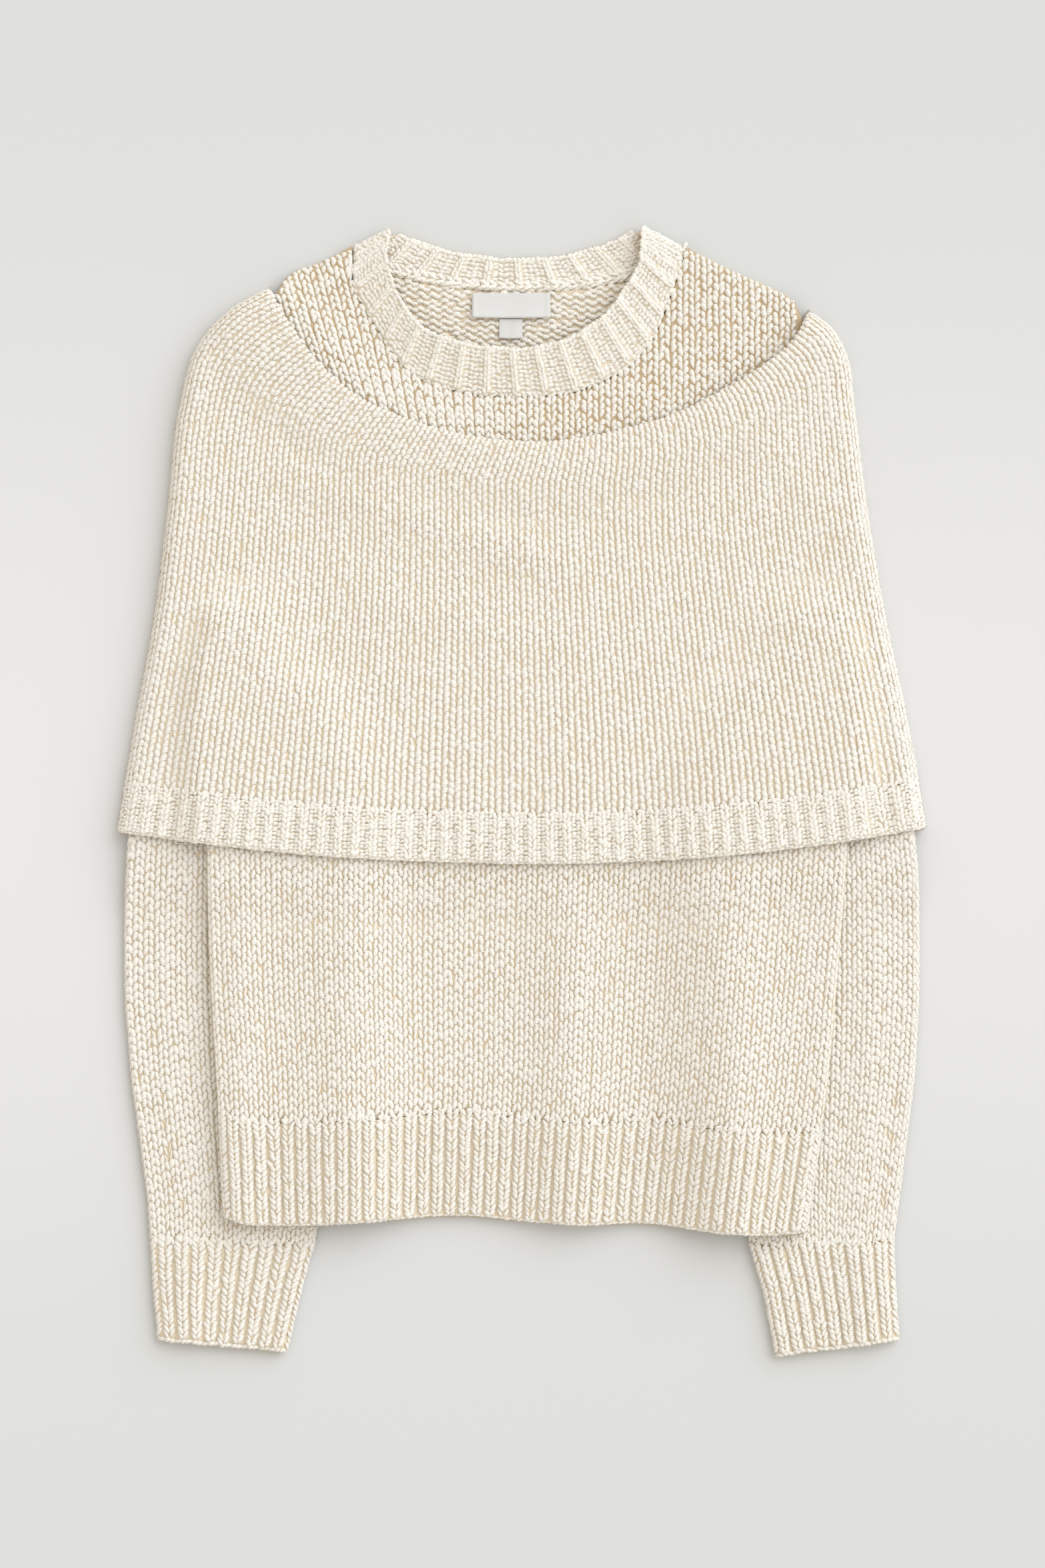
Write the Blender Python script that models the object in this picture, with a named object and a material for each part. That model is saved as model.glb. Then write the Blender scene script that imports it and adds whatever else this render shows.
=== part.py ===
"""Knit sweater with a wide shoulder cape, laid flat on its back.

Lengths below are millimetres: x across, y up the garment, z up from the table.
Left and right are as seen from above.
"""

import math

import bmesh
import bpy
import numpy as np

MM = 0.001
CLOTH = 3.4
SLIT = 0.8
LAYER_GAP = 0.9
CAPE_GAP = 1.3
SEAM_GAP = 0.5
PAIR = 2 * CLOTH + SLIT
CAPE_TURN = 12.0
BODY_TURN = 4.6
FACING = 22.0
RIB_RISE = 1.4
CENTRE = (0.6, 0.0, 0.0)
CAPE_RIBS = 44
BODY_RIBS = 43
CUFF_RIBS = 9
NECK_SPAN = (0.0, 0.12, 0.8, 1.0)
CAPE_HEM_DEEP = 31.5
BODY_HEM_DEEP = 67.0

# Plan outlines, as rows of x, y. Side rows run from the top down.
CAPE_LEFT = (
    (-162.3, 326.2), (-187.3, 312.4), (-210.5, 286.6), (-220.4, 252.2), (-228.5, 183.4),
    (-237.1, 114.6), (-249.6, 45.8), (-261.7, -27.3),
)
CAPE_RIGHT = (
    (186.0, 311.5), (200.2, 300.8), (211.0, 283.0), (215.6, 252.2), (224.2, 183.4),
    (235.9, 114.6), (250.5, 45.8), (262.9, -24.7),
)
CAPE_FOLD = (
    (-162.3, 326.2), (-149.9, 304.2), (-128.4, 275.1), (-102.6, 253.9), (-68.2, 238.9),
    (-29.5, 229.0), (31.6, 227.2), (67.7, 234.6), (100.8, 244.5), (126.6, 257.4),
    (156.3, 275.4), (176.0, 293.3), (186.0, 311.5),
)
CAPE_HEM = (
    (-261.7, -27.3), (-203.6, -35.0), (-132.7, -42.4), (-41.9, -47.0), (28.2, -47.9),
    (94.0, -45.4), (182.1, -37.2), (262.9, -24.7),
)
CAPE_BACK_TOP = (
    (-162.3, 326.2), (-145.0, 288.0), (-105.0, 245.0), (-52.0, 212.0), (5.0, 200.0),
    (62.0, 210.0), (118.0, 241.0), (165.0, 281.0), (186.0, 311.5),
)
BODY_LEFT = (
    (-158.9, 321.0), (-176.1, 235.0), (-186.5, 183.4), (-190.7, 121.0), (-192.9, 101.7),
    (-199.3, 80.2), (-202.3, 55.0), (-202.6, -35.9), (-201.5, -101.7), (-196.3, -195.0),
    (-192.0, -275.8),
)
BODY_RIGHT = (
    (181.7, 304.7), (189.4, 235.0), (195.4, 183.4), (199.7, 121.0), (201.9, 101.7),
    (208.3, 80.2), (210.9, 55.0), (210.5, -33.3), (204.9, -114.2), (195.4, -212.2),
    (184.7, -285.7),
)
SHOULDER_LEFT = ((-158.9, 321.0), (-149.4, 333.9), (-129.2, 342.5), (-109.4, 352.0))
SHOULDER_RIGHT = (
    (107.7, 351.1), (143.0, 333.9), (162.8, 325.3), (176.5, 316.7), (181.7, 304.7),
)
NECK_FRONT = (
    (-109.4, 352.0), (-108.1, 323.1), (-96.5, 303.4), (-81.9, 280.6), (-66.0, 266.2),
    (-40.0, 257.3), (1.9, 254.2), (40.0, 258.5), (67.7, 271.7), (84.8, 290.5),
    (97.4, 320.1), (107.7, 351.1),
)
NECK_BACK = (
    (-109.4, 352.0), (-106.5, 343.5), (-94.0, 336.2), (-69.4, 329.4), (-35.0, 324.2),
    (0.6, 322.7), (36.3, 324.2), (68.2, 329.4), (93.0, 336.2), (105.0, 343.0),
    (107.7, 351.1),
)
FREE_FRONT = (
    (-86.6, 364.0), (-85.4, 334.8), (-78.5, 318.4), (-68.6, 303.4), (-52.2, 293.5),
    (-26.0, 287.0), (0.0, 285.6), (26.9, 290.5), (46.0, 300.6), (64.7, 320.1),
    (76.6, 341.5), (79.8, 365.7),
)
FREE_BACK = (
    (-86.6, 364.0), (-60.8, 353.2), (-35.0, 346.8), (0.6, 344.2), (29.5, 346.4),
    (55.3, 354.0), (79.8, 365.7),
)
BODY_HEM = (
    (-192.0, -275.8), (-179.5, -279.7), (-153.3, -281.0), (-99.5, -278.9), (-35.0, -275.4),
    (3.7, -278.9), (35.9, -281.0), (81.1, -280.3), (132.7, -286.2), (167.5, -287.0),
    (184.7, -285.7),
)

# Heights up the garment at which every panel has a row.
LEVELS = (
    240.0, 190.0, 160.0, 138.0, 121.0, 104.0, 84.0, 62.0, 38.0, 10.0, -20.0,
    -54.0, -92.0, -135.0, -185.0,
)
# Sleeve sections from the armhole to the cuff: outer end x, y, then inner end x, y.
SLEEVE_LEFT = (
    (-172.0, 309.0, -163.8, 300.0), (-186.0, 300.0, -168.0, 282.0),
    (-197.0, 287.0, -172.8, 259.0), (-206.5, 268.0, -178.2, 230.0),
    (-213.0, 236.0, -184.0, 200.0), (-217.5, 200.0, -188.0, 174.0),
    (-221.5, 168.0, -190.4, 150.0), (-226.8, 121.0, -192.0, 121.0),
    (-229.4, 104.0, -192.8, 104.0), (-232.6, 84.0, -185.0, 84.0),
    (-236.6, 62.0, -162.0, 62.0), (-241.3, 38.0, -144.0, 38.0),
    (-247.0, 10.0, -132.5, 10.0), (-253.4, -20.0, -128.0, -20.0),
    (-255.6, -54.0, -126.6, -54.0), (-256.9, -92.0, -126.6, -92.0),
    (-256.5, -135.0, -126.6, -135.0), (-252.6, -185.0, -126.9, -185.0),
    (-241.9, -263.8, -127.9, -265.0), (-240.2, -289.6, -133.1, -294.3),
)
SLEEVE_RIGHT = (
    (190.0, 297.0, 183.6, 291.0), (198.0, 286.0, 186.2, 272.0),
    (203.5, 268.0, 188.6, 250.0), (206.6, 246.0, 191.0, 232.0),
    (209.5, 220.0, 193.6, 209.0), (213.5, 190.0, 196.4, 182.0),
    (217.8, 160.0, 199.0, 152.0), (224.3, 121.0, 201.4, 121.0),
    (227.4, 104.0, 202.1, 104.0), (231.0, 84.0, 194.6, 84.0),
    (235.6, 62.0, 171.6, 62.0), (241.2, 38.0, 153.6, 38.0),
    (247.4, 10.0, 142.1, 10.0), (254.0, -20.0, 137.6, -20.0),
    (257.3, -54.0, 136.2, -54.0), (258.2, -92.0, 136.1, -92.0),
    (258.0, -135.0, 136.4, -135.0), (255.2, -185.0, 138.0, -185.0),
    (245.3, -263.8, 143.8, -265.0), (241.9, -290.5, 147.3, -294.3),
)
CUFF_LEFT = (
    (-240.2, -290.0, -133.3, -294.7), (-238.5, -322.0, -141.5, -325.0),
    (-235.4, -354.5, -150.3, -362.6),
)
CUFF_RIGHT = (
    (241.9, -290.9, 147.5, -294.7), (243.2, -322.0, 156.5, -325.0),
    (245.3, -354.5, 164.1, -365.5),
)

# Soft lengthwise ridges of the body front: x at the hem, half width, rise at the hem.
BODY_RIDGES = ((-178.0, 16.0, 1.4), (-96.0, 24.0, 2.9), (36.0, 21.0, 3.1), (139.0, 19.0, 2.7))
# Soft ridges of the cape: from x, y to x, y, half width, rise.
CAPE_RIDGES = (
    (-175.0, 262.0, -95.0, 213.0, 11.0, 1.2),
    (-130.0, 198.0, 12.0, 156.0, 13.0, 2.2),
    (-90.0, 120.0, 20.0, 98.0, 16.0, 1.0),
    (150.0, 232.0, 205.0, 178.0, 12.0, 1.1),
)

NECK_LABEL = (-31.6, 306.0, 19.1, 321.9)
SIZE_TAB = (-14.0, 292.6, 1.1, 305.6)


def smooth(value):
    """Eases 0 to 1 with level ends."""
    t = np.clip(value, 0.0, 1.0)
    return t * t * (3 - 2 * t)


def curve(rows):
    """A function of 0 to 1 that runs smoothly through rows of numbers, by plan length."""
    pts = np.array(rows, float)
    step = np.hypot(*np.diff(pts[:, :2], axis=0).T)
    knot = np.concatenate([[0.0], np.cumsum(step)]) / step.sum()
    slope = np.gradient(pts, knot, axis=0)

    def at(t):
        t = np.clip(np.asarray(t, float), 0.0, 1.0)
        i = np.clip(np.searchsorted(knot, t, side="right") - 1, 0, len(knot) - 2)
        wide = knot[i + 1] - knot[i]
        f = ((t - knot[i]) / wide)[..., None]
        wide = wide[..., None]
        one = (1 + 2 * f) * (1 - f) ** 2 * pts[i] + f * (1 - f) ** 2 * wide * slope[i]
        two = f * f * (3 - 2 * f) * pts[i + 1] - f * f * (1 - f) * wide * slope[i + 1]
        return one + two

    return at


def joined(ends, *parts):
    """Runs curves one after another. ends says where each starts and stops, from 0 to 1."""
    lines = [curve(rows) for rows in parts]

    def at(t):
        t = np.clip(np.asarray(t, float), 0.0, 1.0)
        i = np.clip(np.searchsorted(ends, t, side="right") - 1, 0, len(lines) - 1)
        out = np.zeros(t.shape + (2,))
        for k, line in enumerate(lines):
            here = i == k
            out[here] = line((t[here] - ends[k]) / (ends[k + 1] - ends[k]))
        return out

    return at


def level_of(rows):
    """x as a function of y along a side, from rows that run down."""
    path = curve(rows)(np.linspace(0, 1, 200))
    order = np.argsort(path[:, 1])
    return lambda y: np.interp(y, path[order, 1], path[order, 0])


INNER_LEFT = level_of([(row[2], row[3]) for row in SLEEVE_LEFT])
INNER_RIGHT = level_of([(row[2], row[3]) for row in SLEEVE_RIGHT])
SIDE_LEFT = level_of(BODY_LEFT)
SIDE_RIGHT = level_of(BODY_RIGHT)
BACK_TOP = curve(CAPE_BACK_TOP)(np.linspace(0, 1, 120))


def lift(x, y):
    """How far the cape's back panel raises what lies on it."""
    top = np.interp(x, BACK_TOP[:, 0], BACK_TOP[:, 1])
    outside = np.clip(np.maximum(-162.3 - x, x - 186.0), 0, None)
    above = 1 - smooth((y - top - 12.0 - 3 * outside) / 50.0)
    below = smooth((y + 92.0) / 38.0)
    return (CLOTH + LAYER_GAP) * above * below


def over_sleeve(x, y):
    """1 where the body lies on a tucked sleeve, easing to 0 beside it."""
    left = 1 - smooth((x - INNER_LEFT(y) - 12.0) / 56.0)
    right = 1 - smooth((INNER_RIGHT(y) - 12.0 - x) / 56.0)
    return np.maximum(left, right) * smooth((138.0 - y) / 34.0)


def body_air(x, y):
    """How far the body's front stands off its back, as soft lengthwise ridges."""
    total = np.zeros(np.shape(x))
    for centre, half, rise in BODY_RIDGES:
        total = total + rise * np.exp(-(((x - centre) / half) ** 2))
    grow = 0.12 + 0.88 * smooth((60.0 - y) / 330.0)
    yoke = 1.1 * np.exp(-(((x + 122) / 17) ** 2 + ((y - 300) / 32) ** 2))
    yoke = yoke + 1.0 * np.exp(-(((x - 132) / 20) ** 2 + ((y - 300) / 30) ** 2))
    return total * grow * smooth((250.0 - y) / 80.0) + yoke


def back_bottom(x, y):
    return lift(x, y) + (PAIR + LAYER_GAP) * over_sleeve(x, y)


def front_top(x, y):
    return back_bottom(x, y) + PAIR + body_air(x, y)


def cape_support(x, y):
    """The top of what lies under the cape's front."""
    out = np.maximum(SIDE_LEFT(y) - x, x - SIDE_RIGHT(y))
    inside = 1 - smooth((out - 1.0) / 24.0)
    raised = (PAIR + LAYER_GAP) * over_sleeve(x, y) + body_air(x, y)
    return lift(x, y) + PAIR + raised * inside


def cape_folds(x, y):
    total = np.zeros(np.shape(x))
    for x0, y0, x1, y1, half, rise in CAPE_RIDGES:
        dx, dy = x1 - x0, y1 - y0
        size = math.hypot(dx, dy)
        along = ((x - x0) * dx + (y - y0) * dy) / size
        aside = ((x - x0) * dy - (y - y0) * dx) / size - 0.05 * np.minimum(along, size)
        ends = np.clip(np.maximum(-along, along - size), 0, None)
        total = total + rise * np.exp(-((aside / half) ** 2) - (ends / 26.0) ** 2)
    return total


def cape_top(x, y, deep):
    """The cape front's upper face. deep is the distance from its rolled edge."""
    doubled = (CLOTH + SLIT) * (1 - smooth((deep - FACING - 4.0) / 32.0))
    loose = cape_folds(x, y) * smooth((deep - 26.0) / 24.0)
    return cape_support(x, y) + CAPE_GAP + CLOTH + doubled + loose


class Plan:
    """A panel seen from above. Its sides turn over in their last part, its upper and
    lower zones follow their edge curves, and between them its rows run level."""

    def __init__(self, left, right, top, bottom, turn, first, last):
        self.turn, self.first, self.last = turn, first, last
        self.sides = (curve(left), curve(right))
        self.top = self.trim(top)
        self.bottom = self.trim(bottom)
        self.v = np.linspace(0, 1, 240)
        self.lean, self.inset = [], []
        for k in (0, 1):
            path = self.sides[k](self.v)
            run = np.gradient(path, self.v, axis=0)
            turned = np.stack([-run[:, 1], run[:, 0]], axis=1) * (1 if k == 0 else -1)
            turned = turned / np.hypot(*turned.T)[:, None]
            for line, i, near in ((self.top, 0, self.v), (self.bottom, -1, 1 - self.v)):
                end = line(float(k)) - path[i]
                part = 1 - smooth(near / 0.08)[:, None]
                turned = turned * (1 - part) + end / np.hypot(*end) * part
            self.lean.append(turned / np.hypot(*turned.T)[:, None])
            self.inset.append(path + self.lean[k] * turn)
        self.long = lambda u: np.hypot(*(self.top(u) - self.level(u, first)).T)
        self.low = lambda u: np.hypot(*(self.level(u, last) - self.bottom(u)).T)

    def trim(self, line):
        """Cuts the turned width off both ends of an edge."""
        line = line if callable(line) else curve(line)
        t = np.linspace(0, 1, 2400)
        path = line(t)
        first = t[np.argmax(np.hypot(*(path - path[0]).T) >= self.turn)]
        last = t[len(t) - 1 - np.argmax(np.hypot(*(path - path[-1]).T)[::-1] >= self.turn)]
        self.cut = (first, last)
        return lambda u: line(first + (last - first) * np.asarray(u, float))

    def reach(self, k, y):
        """How far along side k the turned part's inner line stands at height y."""
        path = self.inset[k]
        return np.interp(-y, -path[:, 1], self.v)

    def level(self, u, y):
        """The point of the level row y, u of the way across."""
        ends = [self.inset[k] for k in (0, 1)]
        x = [np.interp(-y, -path[:, 1], path[:, 0]) for path in ends]
        u = np.asarray(u, float)
        return np.stack([x[0] + (x[1] - x[0]) * u, np.full(u.shape, float(y))], axis=-1)

    def row(self, zone, value, u):
        """Points across a row, and how far along the two sides it ends. value is a
        length from the edge curve for the end zones, and a height for the middle."""
        u = np.asarray(u, float)
        spots = [self.reach(k, self.first if zone == "top" else self.last) for k in (0, 1)]
        if zone == "level":
            ends = [self.reach(k, value) for k in (0, 1)]
            deep = self.long(u) + self.first - value
            return self.level(u, value), ends, deep
        size = self.long(u) if zone == "top" else self.low(u)
        f = np.clip(value / size, 0, 1)
        edge, flat = (self.top(u), self.level(u, self.first))
        if zone == "foot":
            edge, flat = self.bottom(u), self.level(u, self.last)
        both = []
        for k in (0, 1):
            share = f[-k]
            v = spots[k] * share if zone == "top" else 1 - (1 - spots[k]) * share
            path = np.array([np.interp(v, self.v, self.inset[k][:, i]) for i in (0, 1)])
            both.append(path - edge[-k] * (1 - share) - flat[-k] * share)
        a = u[:, None]
        points = edge * (1 - f[:, None]) + flat * f[:, None]
        points = points + both[0] * (1 - a) ** 3 + both[1] * a ** 3
        ends = [spots[0] * f[0], spots[1] * f[-1]]
        if zone == "foot":
            ends = [1 - (1 - spots[0]) * f[0], 1 - (1 - spots[1]) * f[-1]]
        deep = f * size if zone == "top" else self.long(u) + self.first - points[:, 1]
        return points, ends, deep

    def side(self, k, v, deep):
        """A point deep millimetres in from side k."""
        lean = np.array([np.interp(v, self.v, self.lean[k][:, i]) for i in (0, 1)])
        return self.sides[k](v) + lean * deep


def columns(spread, turns=3):
    """Columns of a panel: the side turned over there, or 2, and the place."""
    cols = [(0, a) for a in np.linspace(0, 1, turns + 1)[:-1]]
    cols += [(2, u) for u in spread]
    cols += [(1, a) for a in np.linspace(1, 0, turns + 1)[1:]]
    return cols


def skin_row(plan, cols, zone, value, off, level, seam, sign):
    """One row of points of a panel's face, off under its outer face."""
    u = np.array([place if kind == 2 else float(kind) for kind, place in cols])
    off = np.broadcast_to(np.asarray(off, float), u.shape)
    flat, ends, deep = plan.row(zone, value, u)
    upper = level(flat[:, 0], flat[:, 1], deep)
    low = seam(flat[:, 0], flat[:, 1], deep)
    out = np.zeros((len(cols), 3))
    for c, (kind, place) in enumerate(cols):
        rise, spot = 1.0, flat[c]
        if kind != 2:
            bend = place * math.pi / 2
            inward = off[c] + (plan.turn - off[c]) * (1 - math.cos(bend))
            spot = plan.side(kind, ends[kind], inward)
            rise = math.sin(bend)
        out[c, :2] = spot
        out[c, 2] = low[c] + (upper[c] - sign * off[c] - low[c]) * rise
    return out


def wall(name, outer, inner, loop=False):
    """A closed body between two grids of points, with rims where the grids end."""
    rows, cols = outer.shape[:2]
    verts = np.concatenate([outer.reshape(-1, 3), inner.reshape(-1, 3)])
    verts = (verts - CENTRE) * MM
    step = rows * cols
    faces = []
    wide = cols if loop else cols - 1
    for r in range(rows - 1):
        for c in range(wide):
            n = (c + 1) % cols
            a, b, d, e = r * cols + c, r * cols + n, (r + 1) * cols + n, (r + 1) * cols + c
            faces += [(a, e, d), (a, d, b)]
            faces += [(a + step, b + step, d + step), (a + step, d + step, e + step)]
    for r, turned in ((0, False), (rows - 1, True)):
        for c in range(wide):
            a, b = r * cols + c, r * cols + (c + 1) % cols
            quad = (a, b, b + step, a + step)
            faces.append(quad[::-1] if turned else quad)
    if not loop:
        for c, turned in ((0, True), (cols - 1, False)):
            for r in range(rows - 1):
                a, b = r * cols + c, (r + 1) * cols + c
                quad = (a, b, b + step, a + step)
                faces.append(quad[::-1] if turned else quad)
    mesh = bpy.data.meshes.new(name)
    mesh.from_pydata([tuple(v) for v in verts], [], faces)
    body = bmesh.new()
    body.from_mesh(mesh)
    bmesh.ops.recalc_face_normals(body, faces=body.faces)
    for face in body.faces:
        face.smooth = True
    if body.calc_volume(signed=True) < 0:
        bmesh.ops.reverse_faces(body, faces=body.faces)
    body.to_mesh(mesh)
    body.free()
    mesh.validate()
    thing = bpy.data.objects.new(name, mesh)
    return thing


def panel(name, plan, cols, rows, level, seam, sign=1, ridges=None):
    """A flat panel. Each row gives its zone, then for the outer and the inner face how
    far along it is and how far under the outer face."""
    grids = []
    for part in (1, 3):
        face = [
            skin_row(plan, cols, row[0], row[part], row[part + 1], level, seam, sign)
            for row in rows
        ]
        grids.append(np.array(face))
    if ridges is not None:
        grids[0][:, :, 2] += ridges[None, :]
    return wall(name, *grids)


def plain(zone, *values):
    """Rows of plain wall."""
    return [(zone, value, 0.0, value, CLOTH) for value in values]


def rib_places(count):
    """Three columns a rib: the foot of the rib, then both edges of its crest."""
    spread, rise = [], []
    for rib in range(count):
        for f, high in ((0.12, 0.0), (0.4, 1.0), (0.72, 1.0)):
            spread.append((rib + f) / count)
            rise.append(high * RIB_RISE)
    spread = [0.0] + spread + [1.0]
    rise = [0.0] + rise + [0.0]
    return spread, np.array(rise)


def hem_rows(deep, sign=1):
    """Rows of a hem of that depth, with the lower edge rounded."""
    rows = plain("foot", deep - SEAM_GAP / 2)
    if sign < 0:
        rows += plain("foot", deep / 2)
    for bend in (0, 45, 90):
        turn = math.radians(bend)
        if bend == 45 and sign > 0:
            continue
        outer = CLOTH * (1 - math.sin(turn))
        inner = CLOTH + 1.0 - bend / 90.0
        rows.append(("foot", outer, 0.78 * CLOTH * (1 - math.cos(turn)), inner, CLOTH))
    return rows


def tube(name, sections, tops, unders, puff=None, ribs=0):
    """A flattened sleeve through sections given by their two ends, from the outer one."""
    rows = np.array(sections, float)
    around = []
    if ribs:
        for rib in range(ribs):
            for f, high in ((0.12, 0.0), (0.4, 1.0), (0.72, 1.0)):
                around.append(("top", (rib + f) / ribs, high * RIB_RISE))
    else:
        around += [("top", u, 0.0) for u in np.linspace(0, 1, tops)]
    around += [("in", a, 0.0) for a in (45, 90, 135)]
    around += [("low", u, 0.0) for u in np.linspace(1, 0, unders)]
    around += [("out", a, 0.0) for a in (135, 90, 45)]
    grids = []
    half = PAIR / 2
    for radius in (half, SLIT / 2):
        grid = np.zeros((len(rows), len(around), 3))
        for r, (xo, yo, xi, yi) in enumerate(rows):
            wide = math.hypot(xi - xo, yi - yo)
            ux, uy = (xi - xo) / wide, (yi - yo) / wide
            for c, (kind, value, high) in enumerate(around):
                rise = 0.0
                if kind in ("top", "low"):
                    run = half + (wide - 2 * half) * value
                    rise = radius if kind == "top" else -radius
                elif kind == "in":
                    run = wide - half + radius * math.sin(math.radians(value))
                    rise = radius * math.cos(math.radians(value))
                else:
                    run = half - radius * math.sin(math.radians(value))
                    rise = radius * math.cos(math.radians(value))
                x, y = xo + ux * run, yo + uy * run
                z = float(lift(np.array(x), np.array(y))) + half + rise
                if kind == "top":
                    z += sleeve_puff(value, y)
                    if radius == half:
                        z += high
                grid[r, c] = (x, y, z)
        grids.append(grid)
    return wall(name, grids[0], grids[1], loop=True)


def sleeve_puff(across, y):
    """How far the sleeve's top stands up where nothing lies on it."""
    bare = float(smooth((-60.0 - y) / 60.0))
    return 2.2 * bare * math.exp(-(((across - 0.22) / 0.14) ** 2))


def collar(name):
    """A flattened ring: front half on the body's front, back half on the table."""
    front = (curve(NECK_FRONT), curve(FREE_FRONT))
    back = (curve(NECK_BACK), curve(FREE_BACK))
    up = (1.4 / 31.0, 0.5, 1.0)
    around = []
    front_ribs, back_ribs = 15, 9
    for rib in range(front_ribs):
        for f, high in ((0.2, 0.0), (0.42, 1.0), (0.62, 1.0)):
            around.append(("front", (rib + f) / front_ribs, high))
    around += [("right", a, 0.0) for a in (0, 36, 72, 108, 144, 180)]
    for rib in range(back_ribs):
        for f, high in ((0.2, 0.0), (0.42, 1.0), (0.62, 1.0)):
            around.append(("back", 1 - (rib + f) / back_ribs, high))
    around += [("left", a, 0.0) for a in (180, 144, 108, 72, 36, 0)]
    grids = [np.zeros((len(up), len(around), 3)) for _ in (0, 1)]
    for r, w in enumerate(up):
        stand = 5.0 * w
        low, high_level = CLOTH / 2, CLOTH * 1.5 + SLIT
        for c, (kind, value, high) in enumerate(around):
            if kind in ("front", "back"):
                pair = front if kind == "front" else back
                run_at = 0.055 + 0.89 * value
                seam_point, free_point = pair[0](run_at), pair[1](run_at)
                x, y = seam_point * (1 - w) + free_point * w
                if kind == "front":
                    rest = float(lift(np.array(x), np.array(y)))
                    centre, way = high_level + stand + rest, 1.0
                else:
                    centre, way = low, -1.0
                half = CLOTH / 2
                grids[0][r, c] = (x, y, centre + way * (half + (high * RIB_RISE if way > 0 else 0)))
                grids[1][r, c] = (x, y, centre - way * (half + (high * RIB_RISE if way < 0 else 0)))
                continue
            ends = (NECK_FRONT[0], FREE_FRONT[0]) if kind == "left" else (NECK_FRONT[-1], FREE_FRONT[-1])
            edge = np.array(ends[0]) * (1 - w) + np.array(ends[1]) * w
            run = np.array(ends[1]) - np.array(ends[0])
            run = run / np.hypot(*run)
            out = np.array((-run[1], run[0])) if kind == "left" else np.array((run[1], -run[0]))
            bow = (high_level + stand - low) / 2
            middle = edge - out * (bow + CLOTH / 2)
            turn = math.radians(value)
            for g, radius in ((0, bow + CLOTH / 2), (1, bow - CLOTH / 2)):
                plan = middle + out * radius * math.sin(turn)
                grids[g][r, c] = (*plan, low + bow + radius * math.cos(turn))
    return wall(name, grids[0], grids[1], loop=True)


def plate(name, box, low, thick, across=6):
    """A thin flat piece of ribbon."""
    x0, y0, x1, y1 = box
    xs = np.linspace(x0, x1, across + 1)
    ys = np.array((y1, y0))
    gx, gy = np.meshgrid(xs, ys)
    upper = np.stack([gx, gy, np.full_like(gx, low + thick)], axis=-1)
    under = np.stack([gx, gy, np.full_like(gx, low)], axis=-1)
    return wall(name, upper, under)


def material(name, colour, rough):
    made = bpy.data.materials.new(name)
    made.use_nodes = True
    shader = made.node_tree.nodes["Principled BSDF"]
    shader.inputs["Base Color"].default_value = (*colour, 1.0)
    shader.inputs["Roughness"].default_value = rough
    return made


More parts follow.
